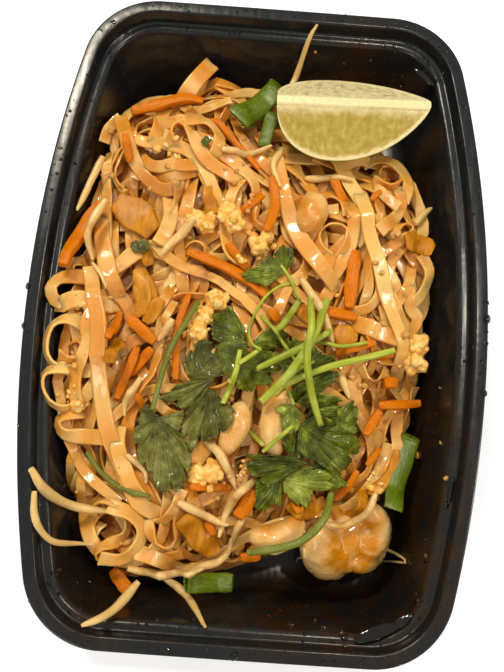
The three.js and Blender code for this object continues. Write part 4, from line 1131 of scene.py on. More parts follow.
# Steps in a rounded corner of the section, and in the arcs of a quarter of the rim.
ROUNDING_STEPS, ARC_STEPS = 5, (44, 36, 25)
# Rings further in than this one are copies of it that shrink to nothing over a distance.
INNER_RING, SHRINKING_RUN = 24, 20
# Where sauce has run over the tray: place and reach.
SAUCE_PLACES = [(45, -85, 28), (55, -60, 18), (20, -92, 20), (-45, -95, 16), (60, -30, 12),
                (-58, 60, 12), (30, 95, 14)]


def rounded_section(section):
    """The section's points with each corner rounded off."""
    points = []
    for i, (x, z, radius) in enumerate(section):
        here = np.array([x, z], float)
        if not 0 < i < len(section) - 1 or radius == 0:
            points.append(here)
            continue
        before = np.array(section[i - 1][:2], float) - here
        after = np.array(section[i + 1][:2], float) - here
        reach = min(radius, 0.48 * np.linalg.norm(before), 0.48 * np.linalg.norm(after))
        first = here + before / np.linalg.norm(before) * reach
        last = here + after / np.linalg.norm(after) * reach
        for t in np.linspace(0, 1, ROUNDING_STEPS):
            points.append((1 - t) ** 2 * first + 2 * t * (1 - t) * here + t ** 2 * last)
    return points


def bow_radius(half_chord, bow):
    """The radius of an arc whose middle stands out by a bow from its chord."""
    return (half_chord ** 2 + bow ** 2) / (2 * bow)


class RimOutline:
    """The rim: bowed sides, nearly straight ends and round corners between them."""

    def __init__(self):
        self.long_radius = bow_radius(TRAY_HALF_LENGTH, LONG_SIDE_BOW)
        self.short_radius = bow_radius(TRAY_HALF_WIDTH, SHORT_SIDE_BOW)
        self.long_centre = TRAY_HALF_WIDTH - self.long_radius
        self.short_centre = TRAY_HALF_LENGTH - self.short_radius
        # The corner's centre lies inside both arcs by the corner's radius.
        a, b = self.long_radius - CORNER_RADIUS, self.short_radius - CORNER_RADIUS
        gap = Vector((self.long_centre, -self.short_centre))
        along = (b * b + gap.length_squared - a * a) / (2 * gap.length)
        aside = math.sqrt(b * b - along * along)
        way = gap.normalized()
        options = [Vector((0, self.short_centre)) + way * along + sign * aside * way.orthogonal()
                   for sign in (1, -1)]
        self.corner = max(options, key=lambda p: min(p.x, p.y))
        self.long_end = math.atan2(self.corner.y, self.corner.x - self.long_centre)
        self.short_start = math.atan2(self.corner.y - self.short_centre, self.corner.x)

    def quarter(self, inset):
        """Points from the middle of the right side to the middle of the far end."""
        arcs = [
            (self.long_centre, 0, self.long_radius, 0, self.long_end),
            (self.corner.x, self.corner.y, CORNER_RADIUS, self.long_end, self.short_start),
            (0, self.short_centre, self.short_radius, self.short_start, math.pi / 2),
        ]
        points = []
        for (x, y, radius, start, end), steps in zip(arcs, ARC_STEPS):
            for angle in np.linspace(start, end, steps, endpoint=False):
                size = radius - inset
                points.append((x + size * math.cos(angle), y + size * math.sin(angle)))
        return points

    def ring(self, inset):
        """The whole outline, moved in by an inset."""
        quarter = self.quarter(inset) + [(0, TRAY_HALF_LENGTH - inset)]
        half = quarter + [(-x, y) for x, y in reversed(quarter[:-1])]
        return half + [(x, -y) for x, y in reversed(half[1:-1])]


def looks_inside(point):
    """Whether a point's side of the tray looks up or to the middle."""
    outwards = point.normal.x * point.co.x + point.normal.y * point.co.y
    return point.normal.z > 0.3 or (outwards < 0 and point.normal.z > -0.1)


def tray_mesh():
    """The tray, made ring by ring along its section."""
    rim = RimOutline()
    section = rounded_section(TRAY_SECTION)
    rings = [[(x, y, z) for x, y in rim.ring(min(inset, INNER_RING))] for inset, z in section]
    for ring, (inset, z) in zip(rings, section):
        if inset > INNER_RING:
            share = 1 - (inset - INNER_RING) / SHRINKING_RUN
            ring[:] = [(x * share, y * share, z) for x, y, z in ring]
    shape = bmesh.new()
    circle = bmesh.ops.create_circle(shape, segments=len(rings[0]), radius=1)["verts"]
    place_ring(circle, rings[0])
    edges = list(shape.edges)
    bmesh.ops.contextual_create(shape, geom=edges)
    for ring in rings[1:]:
        made = bmesh.ops.extrude_edge_only(shape, edges=edges)["geom"]
        new = [each for each in made if isinstance(each, bmesh.types.BMVert)]
        edges = outer_edges(made)
        place_ring(new, ring)
    bmesh.ops.contextual_create(shape, geom=edges)
    bmesh.ops.recalc_face_normals(shape, faces=shape.faces)
    mesh = to_mesh(shape)
    point_values(mesh, "sauce", [
        patches(SAUCE_PLACES, point.co.x / MM, point.co.y / MM) * looks_inside(point)
        for point in mesh.vertices])
    return mesh


def outer_edges(made):
    """The new loop of edges that an extrusion made."""
    new = {each for each in made if isinstance(each, bmesh.types.BMVert)}
    return [each for each in made if isinstance(each, bmesh.types.BMEdge)
            and each.verts[0] in new and each.verts[1] in new]


def place_ring(vertices, ring):
    """Moves a loop of points, in their own order, to the places of a ring."""
    for vertex, place in zip(vertices, ring):
        vertex.co = Vector(place) * MM


def add_pebble(shape, place, size, normal, draw, unevenness, spin=None, detail=2):
    """Adds an uneven rounded lump, its flat side against a surface."""
    made = bmesh.ops.create_icosphere(shape, subdivisions=detail, radius=1)["verts"]
    spin = draw.uniform(0, FULL_TURN) if spin is None else spin
    turn = normal.to_track_quat("Z", "Y").to_matrix() @ Matrix.Rotation(spin, 3, "Z")
    for vertex in made:
        bumpy = 1 + draw.uniform(-unevenness, unevenness)
        local = Vector([a * b * bumpy for a, b in zip(vertex.co, size)])
        vertex.co = (Vector(place) + turn @ local) * MM


# Drops that catch the light: place and radius.
BIG_DROPS = [
    (77, 2, 1.5), (76.5, 7.5, 1.0), (76.5, -2.5, 0.9), (76.5, -6.5, 0.8), (76, -23, 1.2),
    (-77.2, 2, 1.3), (-77, -11.5, 1.1), (-76, -33, 1.6), (34.5, -103, 1.3), (58, -92, 1.5),
    (0, -109.5, 1.4), (61, -78, 1.3), (58, 86, 1.6), (50, 95, 2.0), (21.5, -98.5, 0.9),
    (19.5, -97, 0.7), (25, -99, 0.8), (26, -101, 0.9), (15, -100, 0.7), (11, -101, 0.7),
    (18, -102, 0.8), (5.5, -99, 0.6), (22, -103, 0.7), (28.5, -102, 0.9), (66, -60, 1.2),
]
# Long drops on the ledge: place, half length, half width and turn.
LONG_DROPS = [((44.5, -101.5), 8, 2.4, 0.38), ((53, -97.3), 4, 1.7, 0.75), ((55, 92), 5, 1.4, -0.7),
              ((67.5, -55), 5, 1.1, 1.45)]
# Small drops: where they may be on the flange, the ledge and the wall, and their radii.
DROP_INSETS, SMALL_DROPS = ((0.8, 4.2), (5, 8), (8.5, 14)), (0.2, 0.6)
DROP_FLATNESS, LONG_DROP_HEIGHT = 0.62, 0.8


def drops_mesh(count, draw):
    """Water drops on the tray's flange, ledge and walls."""
    tray = solid_tree("tray")
    rim = RimOutline()
    shape = bmesh.new()
    places = list(BIG_DROPS)
    for _ in range(count):
        inset = draw.choice([draw.uniform(*insets) for insets in DROP_INSETS])
        x, y = draw.choice(rim.ring(inset))
        places.append((x + draw.gauss(0, 0.6), y + draw.gauss(0, 0.6), draw.uniform(*SMALL_DROPS)))
    for x, y, radius in places:
        if DISH.surface.at(x, y) > EDGE_HEIGHT:
            continue
        hit, normal, _, _ = tray.ray_cast(Vector((x * MM, y * MM, Relief.OVER * MM)), -UP)
        if hit is None:
            continue
        size = [radius * draw.uniform(0.85, 1.2) for _ in range(2)] + [radius * DROP_FLATNESS]
        add_pebble(shape, hit / MM, size, normal, draw, 0.0)
    for (x, y), length, width, spin in LONG_DROPS:
        size = (length, width, LONG_DROP_HEIGHT)
        add_pebble(shape, (x, y, LEDGE_TOP), size, UP, draw, 0.0, spin, 4)
    return kept_inside(to_mesh(shape))


# ---- Lime ----

LIME_LENGTH, LIME_RADIUS, LIME_PITH = 54.0, 20.5, 1.2
LIME_FRONT, LIME_BACK = math.radians(25), math.radians(43)
LIME_PLACE, LIME_TURN = (28.5, 75.5), math.radians(2)
# Shares of the way round the section: end of the front face, of the rind and of the back face.
LIME_SHARES = (0.34, 0.62, 0.93)
LIME_COLUMNS, LIME_ROWS = 132, 150
# How far in from the rind and the pith the juice cells begin.
JUICE_START = 0.8


def lime_radius(t):
    """The wedge's radius at a share of its length."""
    return LIME_RADIUS * math.sqrt(math.sin(math.pi * t ** 0.75)) * (1 - 0.3 * t ** 8)


def cut_length(radius, slope):
    """How far a cut face runs from the pith to the rind."""
    inside = (LIME_PITH * math.cos(slope)) ** 2 + radius ** 2 - LIME_PITH ** 2
    return max(0.0, -LIME_PITH * math.cos(slope) + math.sqrt(max(0.0, inside)))


def lime_section(radius, share):
    """A point round the wedge: y, z, distance from the rind, distance from the pith, is back."""
    pith = min(LIME_PITH, radius)
    front, back = cut_length(radius, LIME_FRONT), cut_length(radius, LIME_BACK)
    front_end = (-pith - front * math.cos(LIME_FRONT), -front * math.sin(LIME_FRONT))
    back_end = (pith + back * math.cos(LIME_BACK), -back * math.sin(LIME_BACK))
    if share < LIME_SHARES[0]:
        run = front * share / LIME_SHARES[0]
        return -pith - run * math.cos(LIME_FRONT), -run * math.sin(LIME_FRONT), front - run, run, 0
    if share < LIME_SHARES[1]:
        part = (share - LIME_SHARES[0]) / (LIME_SHARES[1] - LIME_SHARES[0])
        first = math.atan2(front_end[1], front_end[0])
        last = math.atan2(back_end[1], back_end[0])
        angle = first + (last - first) * part
        return radius * math.cos(angle), radius * math.sin(angle), -0.6, radius, 0
    if share < LIME_SHARES[2]:
        part = 1 - (share - LIME_SHARES[1]) / (LIME_SHARES[2] - LIME_SHARES[1])
        run = back * part
        return pith + run * math.cos(LIME_BACK), -run * math.sin(LIME_BACK), back - run, run, 1
    part = (share - LIME_SHARES[2]) / (1 - LIME_SHARES[2])
    return pith * (1 - 2 * part), 0.0, radius, 0.0, 0.5


def lime_mesh():
    """The lime wedge: two cut faces, a pith between them and the rind below."""
    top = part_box("lime_wedge")[1][2] / MM
    turn = (math.cos(LIME_TURN), math.sin(LIME_TURN))

    def place(s, t):
        along = (1 - math.cos(math.pi * s)) / 2
        radius = lime_radius(along)
        x = (along - 0.5) * LIME_LENGTH
        y, z, rim, core, back = lime_section(radius, t)
        if rim > JUICE_START and core > JUICE_START:
            # Juice cells stand out a little from the cut faces.
            z += 0.28 * noise.noise(Vector((x * 0.9 + core * 0.5, core * 0.22, back * 9)))
            z -= 0.35 * min(1, (rim - JUICE_START) / 2)
        return (LIME_PLACE[0] + x * turn[0] - y * turn[1],
                LIME_PLACE[1] + x * turn[1] + y * turn[0], top - 0.1 + z, rim, core, back)

    shape = sheet_bmesh()
    add_sheet(shape, LIME_COLUMNS, LIME_ROWS, place, ("rim", "core", "back"))
    bmesh.ops.recalc_face_normals(shape, faces=shape.faces)
    return to_mesh(shape)


# ---- Toppings that follow a line ----

SHRED_SECTION = [(-0.5, -0.2), (-0.44, -0.27), (0.44, -0.27), (0.5, -0.2), (0.5, 0.2),
                 (0.44, 0.27), (-0.44, 0.27), (-0.5, 0.2)]
ROD_SECTION = [(0.5 * math.cos(a), 0.5 * math.sin(a))
               for a in np.linspace(0, 2 * math.pi, 12, False)]
SLIP_SECTION = [(-0.5, 0.0), (-0.47, 0.05), (-0.25, 0.08), (0, 0.09), (0.25, 0.08), (0.47, 0.05),
                (0.5, 0.0), (0.47, -0.06), (0, -0.03), (-0.47, -0.06)]
# How many of the stems are dull, and how dull they are.
DULL_STEMS, DULLNESS = 3, 0.8

# Plan lines and widths. The first list of a kind follows the CAD nodes in their order, and the
# one called MORE lies on top.
CARROTS = [
    ([(-52, 75), (-42, 78.5), (-33, 81.5), (-26, 81)], 4),
    ([(-23, 71), (-19, 70.5), (-13, 63.5), (-3, 52.5)], 2.2),
    ([(-58, 35), (-62, 27), (-65, 18), (-66.5, 10)], 4.6),
    ([(2, 50), (3.6, 40), (2.5, 33), (1, 28)], 3.4), ([(24, 54), (28.5, 43)], 3.4),
    ([(-26, 20), (-14, 16), (-4, 11), (3, 6)], 3.5), ([(33, 25), (32, 13), (31.5, 4)], 4.5),
    ([(-24, 5), (-27, -8), (-26, -25)], 2.6), ([(-44, -5), (-34, -13)], 4),
    ([(-40, -15), (-45, -33)], 3), ([(44, -28.5), (52, -27.5), (60, -26)], 3.2),
    ([(44, -30.5), (39.5, -39)], 3.2), ([(3.5, -60), (-2, -69)], 4.6), ([(-43, -90), (-37, -97)], 4.6),
]
MORE_CARROTS = [
    ([(-1, 42), (-8, 34.5)], 3), ([(37, 43), (40.5, 46.5)], 2), ([(-12, 23), (-4, 14.5)], 3),
    ([(22, 2), (34, 1)], 3.6), ([(-47, -3), (-48.5, -14)], 3), ([(-35, -15), (-42, -24)], 3.4),
    ([(28, -12), (41, -7.5)], 2.6), ([(41, -12), (48.5, -10)], 2.6),
    ([(38, -51), (35, -57), (31, -61.5)], 2.6), ([(46, -43), (41, -49)], 2),
    ([(-18, -60), (-5, -59.5)], 2.6), ([(0, -83), (7, -83)], 3), ([(-51, 60), (-49, 51)], 2.6),
    ([(-12, -71), (-9, -75)], 2.6), ([(46, -20.5), (51, -19.5)], 4), ([(4, 1), (7, -3)], 3),
    ([(-38, -31), (-36, -35)], 2.4), ([(16, -62), (18, -66)], 2.2),
]
SPROUTS = [
    ([(-67.5, -57.5), (-62, -65.5), (-54, -69.5), (-40, -69.5)], 3.4),
    ([(-65, -64), (-64.5, -72), (-60, -79.5), (-50, -81.5)], 2.4),
    ([(-25, -91), (-17, -96), (-9.5, -101.5)], 2.8), ([(-33, -92), (-39, -99.5), (-47, -103)], 3.2),
    ([(-59, 53), (-62.5, 42), (-65, 31)], 2.8), ([(-55, 35), (-58.5, 27), (-59.5, 20), (-58, 14)], 3),
    ([(4.5, 86), (8, 93), (11, 100), (14, 104)], 2.4),
    ([(43, -58), (40, -65), (33, -69.5), (25, -68)], 2.6),
]
MORE_SPROUTS = [
    ([(-14, -45), (-9.5, -48.5), (-6, -54), (-3, -60)], 3.2),
    ([(3.5, -56.5), (-2.5, -61.5), (-6, -68.5), (-7.5, -75.5)], 3.2),
    ([(-21.5, -65), (-18, -66.5), (-11, -69.5), (-5, -71.5)], 3), ([(0, -69), (-2, -74), (-3, -79)], 3),
    ([(-16.5, -88.5), (-13, -86), (-7.5, -84.5), (-4, -80.5), (-3.5, -76)], 2.8),
    ([(-37, -88), (-25, -90), (-12, -86)], 3),
    ([(-37.5, -25.5), (-39.5, -30), (-42, -34), (-42, -38.5)], 2.4),
    ([(-16.5, 56), (-10.5, 57), (-4.5, 59.5), (1, 62)], 2.6),
    ([(-24, 30.5), (-29.5, 24), (-34.5, 17)], 3.4), ([(14, 52), (22, 53.5), (31, 52)], 2.8),
    ([(14.5, 13), (20, 5), (24, -3), (27, -11.5)], 3.2), ([(29.5, -18.5), (31.5, -23), (33, -27)], 3),
    ([(55, 38.5), (58, 42.5), (61.5, 46)], 3), ([(-58, 13), (-54.5, 9), (-52, 4)], 1.6),
    ([(39.5, -74), (48, -77), (57.5, -80.5), (51, -84.5)], 1.2),
    ([(21, -77.5), (21.5, -82), (21.5, -86.5)], 1.2),
    ([(35, -74), (38, -73), (40.5, -70), (39, -68)], 1.3),
    ([(-28.5, -5), (-31, -9.5), (-33, -12.5)], 3), ([(5, 62), (2, 55), (5, 46)], 2.4),
    ([(-40, -51), (-34, -56), (-33, -60)], 2.2),
]
# Wide brown slips of cooked onion that lie among the noodles.
SLIPS = [
    ([(-45, 22.5), (-40.5, 18.5), (-38.5, 14.5)], 5),
    ([(-42.5, 12.5), (-40.5, 7.5), (-39, 1), (-42, -4)], 5.5),
    ([(-46.5, -12.5), (-46.5, -17), (-47.5, -22)], 5.5), ([(50, 29), (56, 30), (61, 28)], 7),
    ([(31, -64), (34, -67.5), (39, -64.5), (40.5, -57.5)], 4.5),
    ([(42, -58), (47, -55), (51, -50), (52, -43)], 4), ([(-20, -70), (-14, -76), (-9, -82)], 8),
    ([(-33, 2), (-35.5, -2.5), (-38, -6.5)], 5), ([(15, -64), (21, -66), (28, -62)], 5),
    ([(-20.5, 43.5), (-19, 37.5), (-18.5, 33)], 5), ([(14, 3), (20, -1), (26, -2)], 5.5),
]
STEMS = [
    ([(-54, -51), (-49, -57), (-41, -62), (-31, -64)], 1.8),
    ([(29, -59), (26, -67), (18, -75), (2, -79.5)], 2.6),
    ([(-20, 1), (-26, -10), (-30, -21), (-32.5, -36)], 1.9),
    ([(48, -9.5), (38, -13), (24, -18), (10, -25)], 2.4),
    ([(25, -5.5), (13, -13), (0, -20), (-8, -25)], 2.4),
    ([(23.5, 6), (19, -8), (12, -21), (3, -31)], 3),
    ([(17.5, 5), (17.5, -6), (17, -19), (23.5, -37)], 2.5),
]
MORE_STEMS = [
    ([(-5, -14), (-6, -22), (-9.5, -32)], 2), ([(-5, -19), (1, -14)], 1.6),
    ([(14, 5), (9, -4), (6, -7)], 2.4), ([(1, -1), (8, -9), (14, -16)], 1.2),
    ([(12, 11), (6, 9), (2, 5), (-1, -1), (-2.5, -7), (-1, -12), (2, -14)], 1.0),
    ([(7, 17), (10, 13), (12, 9), (14, 5)], 1.2), ([(0, -40), (5, -45)], 1.5),
    ([(14, -38), (5, -47)], 1.5), ([(11, -24), (14, -31)], 1.0), ([(20, -8), (28, -10), (38, -8)], 1.3),
    ([(8, -28), (14, -20), (20, -16)], 1.3),
]
SCALLIONS = [
    ([(-12, 71), (2, 87)], 9.5), ([(-2, 62.5), (0.5, 75)], 5), ([(57, -38), (50, -63)], 7),
    ([(-17, -91), (-2, -91.5)], 6.5),
]


def middle_height(tree, x, y):
    """The height half way between the top and the bottom of a solid, or nan beside it."""
    hits = [tree.ray_cast(Vector((x * MM, y * MM, start)), way)[0]
            for start, way in ((Relief.OVER * MM, -UP), (Relief.BELOW * MM, UP))]
    return float("nan") if None in hits else (hits[0].z + hits[1].z) / 2 / MM


def node_line(name, plan):
    """Points along a plan line, at the middle height of the CAD node that it belongs to."""
    tree = solid_tree(name)
    points = smooth_line(plan, STRIDE / 2)
    heights = np.array([middle_height(tree, x, y) for x, y in points])
    known = ~np.isnan(heights)
    order = np.arange(len(points))
    return np.column_stack([points, np.interp(order, order[known], heights[known])])


def laid_line(plan, width, height, sink=0.0):
    """Points along a plan line that lies on whatever is there already."""
    points = smooth_line(plan, STRIDE / 2)
    laid = Laid(points, np.zeros(len(points)), width, height).settle(DISH.ground, 10)
    laid.z -= sink
    laid.press_into(DISH.ground)
    return np.column_stack([points, laid.z])


def shred(line, width, draw, taper, unevenness, tail=0.0):
    """A strand along a line that thins towards its ends, more so where it has a tail."""
    t = np.linspace(0, 1, len(line))
    phase = draw.uniform(0, FULL_TURN)
    size = width * (1 - taper * np.abs(2 * t - 1) ** 4) * (1 - tail * t ** 2.2)
    size *= 1 + unevenness * np.sin(phase + t * draw.uniform(8, 20))
    roll = 0.3 * np.sin(phase + t * draw.uniform(2, 6))
    return np.column_stack([line, roll, size])


def line_toppings(kind, plans, more, height, draw, taper, unevenness, tail=0.0):
    """The strands of one kind: those of the CAD nodes, and more that lie on top."""
    names = nodes_named(kind)
    strands = [shred(node_line(name, plan), width, draw, taper, unevenness, tail)
               for name, (plan, width) in zip(names, plans)]
    for plan, width in more:
        line = laid_line(plan, width, width * height, 0.3)
        strands.append(shred(line, width, draw, taper, unevenness, tail))
    return strands, names


def swept_toppings(name, strands, section, material, names, dull=0):
    """A piece swept along its strands, the first few of which may be dull."""
    mesh = swept_mesh(strands, section)
    face_values(mesh, "dull", (strand_numbers(mesh) < dull) * DULLNESS)
    piece = new_object(name, mesh, material, *names)
    return piece


def tube_section(height, wall, steps=26):
    """A flattened hollow tube, one unit wide, as a closed outline with a seam underneath."""
    outline = []
    for size, order in ((1.0, 1), (1.0 - 2 * wall, -1)):
        tall = height * size if order == 1 else height - 2 * wall
        angles = np.linspace(-math.pi / 2 + 0.04, 1.5 * math.pi - 0.04, steps)[::order]
        outline += [(0.5 * size * math.cos(a), 0.5 * tall * math.sin(a)) for a in angles]
    return outline


# ---- Leaves ----

DULL, BRIGHT, PALE = 0, 1, 2
# Each tone's name and its colours.
LEAF_LOOKS = [
    ("dull", "404210", "6e6e2c", "92904e"), ("bright", "303a00", "5f6b0a", "9aa63c"),
    ("pale", "5c6a0e", "8c982c", "bac068"),
]
# Leaves, from the lowest to the highest: foot, outer edge from one side to the other, lift, tone.
LEAVES = [
    ((-40.5, 18), [(-38, 20), (-40.5, 22.5), (-44, 22), (-45.5, 20), (-44, 18)], 0.5, DULL),
    ((-22, 56), [(-20, 58), (-22.5, 59.5), (-24, 57.5)], 0.3, BRIGHT),
    ((8.5, 15), [(6, 12.5), (2, 9), (-2, 10), (-6, 11), (-6.5, 12.5), (-1.5, 16.5), (3.5, 20),
     (7, 24.5), (10.5, 23.5), (11, 18.5)], 0.8, BRIGHT),
    ((-20, -24.5), [(-23, -21.5), (-23, -17), (-20, -13), (-17, -11.5), (-13.5, -12), (-11, -14.5),
     (-9, -17), (-8, -19), (-9.5, -22), (-13, -23.5)], 0.8, DULL),
    ((-14, -27.5), [(-10.5, -31), (-7, -32.5), (-5, -35.5), (-6.5, -39), (-9, -42), (-12.5, -44),
     (-16.5, -45.5), (-19, -48.5), (-22, -45), (-23, -40.5), (-21.5, -35), (-18, -32)], 1.0, DULL),
    ((-30.5, -38), [(-35, -34), (-37, -39.5), (-38.5, -44.5), (-37, -48.5), (-35.5, -52),
     (-33.5, -55.5), (-31, -56), (-31, -60), (-29, -61.5), (-26, -62), (-23.5, -62), (-21.5, -61),
     (-19.5, -56.5), (-18.5, -52), (-19, -48.5), (-21.5, -45.5), (-23, -40.5), (-22.5, -35)], 0.9,
     DULL),
    ((-13, -24), [(-14.5, -27.5), (-18, -32), (-22.5, -34.5), (-26.5, -33), (-30.5, -31.5),
     (-26.5, -28), (-21.5, -25.5), (-15, -23)], 1.4, DULL),
    ((-3.5, -10), [(-6.5, -13), (-9, -15), (-11.5, -13.5), (-14, -11), (-15, -7.5), (-15.5, -3.5),
     (-12.5, -1.5), (-10, 1), (-7, -2), (-4.5, -5.5)], 0.9, BRIGHT),
    ((-1, -11), [(1.5, -8), (6.5, -4.5), (9, -6), (11.5, -7.5), (11, -10.5), (5, -12.5), (0.5, -13)],
     0.8, BRIGHT),
    ((-13, -13), [(-10, -22), (-5, -25), (0, -20), (-2, -13), (-6, -9)], 0.8, BRIGHT),
    ((-5, -19.5), [(1, -14), (6, -13.5), (9.5, -15.5), (9, -19), (5.5, -21), (7, -23), (2.5, -25.5),
     (-1.5, -27), (-5.5, -26.5)], 0.8, BRIGHT),
    ((17, -13.5), [(13.5, -14), (11, -12), (11.5, -9), (13, -8), (15, -8.5), (17.5, -10.5)], 1.2, PALE),
    ((8, -17), [(11, -10), (18, -9), (22, -13), (20, -20), (14, -23)], 0.7, BRIGHT),
    ((17.5, -19), [(17.5, -16), (19.5, -14), (23, -12.5), (25, -13.5), (27, -14.5), (27, -17.5),
     (25, -20), (21.5, -21.5)], 1.0, BRIGHT),
    ((12.5, -28), [(14.5, -24.5), (19.5, -21.5), (24, -19.5), (28, -18.5), (27.5, -22), (23.5, -25.5),
     (20.5, -28), (14.5, -30)], 0.7, BRIGHT),
    ((15, -30), [(18.5, -26.5), (23.5, -26.5), (28.5, -27), (30.5, -28.5), (29, -31), (24, -32),
     (18.5, -31)], 1.0, BRIGHT),
    ((20, -32), [(17, -40), (22, -46), (31, -45), (34, -37), (30, -30)], 0.6, BRIGHT),
    ((20.5, -50), [(26, -50), (31.5, -52), (34.5, -55.5), (32, -57), (29, -59.5), (27.5, -56.5),
     (23.5, -54)], 1.0, BRIGHT),
    ((12, -55.5), [(3.5, -56), (3.5, -60.5), (3.5, -65), (7, -66.5), (9.5, -65), (9.5, -61),
     (10.5, -63.5), (12.5, -64.5), (12, -60.5)], 0.8, BRIGHT),
    ((12.5, -56), [(13, -59.5), (16.5, -62.5), (19.5, -64), (21.5, -63.5), (22.5, -60.5), (25, -59),
     (28.5, -57.5), (30, -55.5), (26.5, -52), (21, -51), (16, -52.5)], 1.0, PALE),
    ((29, -36), [(29, -31.5), (33, -28.5), (34.5, -28), (36, -29.5), (36, -34), (36.5, -37.5),
     (34.5, -40), (31.5, -39.5)], 1.2, BRIGHT),
    ((17, -39.5), [(11, -41.5), (12, -44.5), (13.5, -47), (15, -48.5), (18.5, -48), (21, -45.5),
     (20, -41.5)], 1.0, BRIGHT),
    ((16.5, -37.5), [(21.5, -33.5), (25.5, -34.5), (29, -36.5), (33.5, -38.5), (37, -40), (38, -43),
     (37, -46.5), (34, -49.5), (31.5, -52), (27, -51), (21, -48.5), (16.5, -45.5)], 1.2, BRIGHT),
    ((14, -31), [(11.5, -31), (8, -32.5), (10, -34.5), (10.5, -37.5), (12.5, -40.5), (15, -40.5),
     (16.5, -37.5), (17, -33.5)], 1.4, PALE),
    ((20, -49.5), [(12.5, -48), (7, -48), (3, -48), (-1, -48.5), (0, -51.5), (1.5, -54.5), (3.5, -56),
     (8, -57.5), (12, -56), (16, -52.5)], 1.4, BRIGHT),
]
# The tones of the CAD model's leaves, in their order.
LEAF_TONES = (BRIGHT, BRIGHT, DULL, DULL, DULL, BRIGHT, BRIGHT, BRIGHT)
TOOTH_WIDTH, TOOTH_DEPTH, LOBE_WIDTH, LOBE_DEPTH = 1.6, 0.85, 7.5, 0.15
VEIN_GAP, VEIN_HALF, LEAF_THICKNESS = 6.5, 0.2, 0.3


def leaf_vein(share, width, out):
    """How close a place is to one of a leaf's veins, which spread from its foot."""
    vein = 0.0
    for gap, strength, start in ((VEIN_GAP, 1.0, 0.0), (TOOTH_WIDTH, 0.4, 0.45)):
        count = max(2, round(width / gap))
        off = abs((share * count) % 1 - 0.5) * out * width / count
        vein = max(vein, strength * math.exp(-(off / VEIN_HALF) ** 2) * (out > start))
    return vein


def add_leaf(shape, leaf, draw):
    """Adds one leaf: a fan from its foot to its toothed edge, draped over what is there."""
    foot, outer, lift, _ = leaf
    ground = DISH.ground.draped(2)
    edge = smooth_line(outer, 0.25)
    width = 0.25 * (len(edge) - 1)
    reaches = np.linalg.norm(edge - np.array(foot), axis=1)
    teeth, lobes = max(3, round(width / TOOTH_WIDTH)), max(1, round(width / LOBE_WIDTH))
    veins = max(2, round(width / VEIN_GAP))
    phase, wave = draw.uniform(0, FULL_TURN), draw.uniform(0, FULL_TURN)
    laid = []

    def place(s, t):
        nearest = int(round(s * (len(edge) - 1)))
        uneven = s + 0.35 / teeth * noise.noise(Vector((s * teeth / 2.5, phase, 0)))
        tooth = TOOTH_DEPTH * (abs(math.sin(math.pi * teeth * uneven)) ** 0.5 - 0.6)
        notch = LOBE_DEPTH * math.exp(-(((uneven * lobes + 0.5) % 1 - 0.5) * LOBE_WIDTH / 0.8) ** 2)
        notch *= min(1, s * lobes * 2, (1 - s) * lobes * 2)
        out = t * (1 + t * t * (tooth / max(3.0, reaches[nearest]) - notch))
        x = foot[0] + (edge[nearest, 0] - foot[0]) * out
        y = foot[1] + (edge[nearest, 1] - foot[1]) * out
        ripple = lift * 0.75 * t ** 1.4 * math.sin(2 * math.pi * lobes * s + wave)
        fine = 1.5 * lift * noise.noise(Vector((x / 7, y / 7, phase)))
        fine += 0.5 * noise.noise(Vector((x / 2.4, y / 2.4, phase)))
        pleat = 0.35 * min(1, t * 2) * abs(math.sin(math.pi * (veins * s - 0.5))) ** 0.6
        pleat += 0.1 * t * t * abs(math.sin(math.pi * (teeth * uneven - 0.5)))
        z = float(ground.at(x, y)) + 0.4 + lift * 0.5 + ripple + fine + pleat
        laid.append((x, y, z))
        return x, y, z, leaf_vein(s, width, t)

    rows = 5 + int(reaches.max() / 1.6)
    add_sheet(shape, min(230, max(24, int(width / 0.27))), rows, place, ("vein",))
    DISH.ground.raise_to(*np.array(laid).T)


def leaves_meshes(leaves, draw):
    """A mesh for each tone, with all the leaves laid in their order."""
    shapes = [sheet_bmesh() for _ in LEAF_LOOKS]
    for leaf in leaves:
        add_leaf(shapes[leaf[-1]], leaf, draw)
    meshes = []
    for shape in shapes:
        bmesh.ops.recalc_face_normals(shape, faces=shape.faces)
        solid = ("SOLIDIFY", {"thickness": LEAF_THICKNESS * MM, "offset": 0.0})
        meshes.append(applied(to_mesh(shape), solid))
    return meshes


# ---- Shrimp, egg and onion ----

SHRIMP_PLANS = [
    [(26, -70), (27, -78), (35, -84), (40, -80)], [(41, -62), (46, -70), (47, -79), (43, -84)],
    [(3, -74), (12, -75), (20, -68)], [(12, -26), (8, -37), (9, -49)], [(-3, -31), (-5, -41), (-9, -49)],
    [(14, 31), (17, 37), (16, 45)],
]
# The length of a shrimp's segments, and the groove between them.
SEGMENT, GROOVE_DEPTH, GROOVE_HALF = 5.2, 0.15, 0.06
# Where spice has coloured the shrimp: place and reach.
SHRIMP_STAINS = [
    (32, -77, 6), (36, -81, 6), (38, -76, 6), (40, -83, 5), (42, -66, 5), (42, -75, 6),
    (8, -32, 4), (13, -44, 4), (-5, -38, 5), (-9, -48, 4), (8, -70, 5), (17, -67, 4), (14, 38, 6),
    (17, 33, 4),
]


def along_line(points, lengths, place):
    """How far along a line its closest point to a place is."""
    gaps = (points[:, 0] - place.x) ** 2 + (points[:, 1] - place.y) ** 2
    return lengths[int(np.argmin(gaps))]


# Flesh that joins the pieces at the lower right: place, half sizes and turn.
FLAPS = {
    "shrimp_01": [((31, -76, 26), (9, 7, 5), -0.9), ((37, -81, 22), (6, 5, 5), 0.0),
                  ((38, -73, 27), (8, 7, 4), 0.0)],
    "shrimp_02": [((44, -72, 27), (9, 6.5, 5.5), 1.45), ((42, -80, 23), (6, 6, 5), 0.0)],
}
SHRIMP_SWELL = 1.0


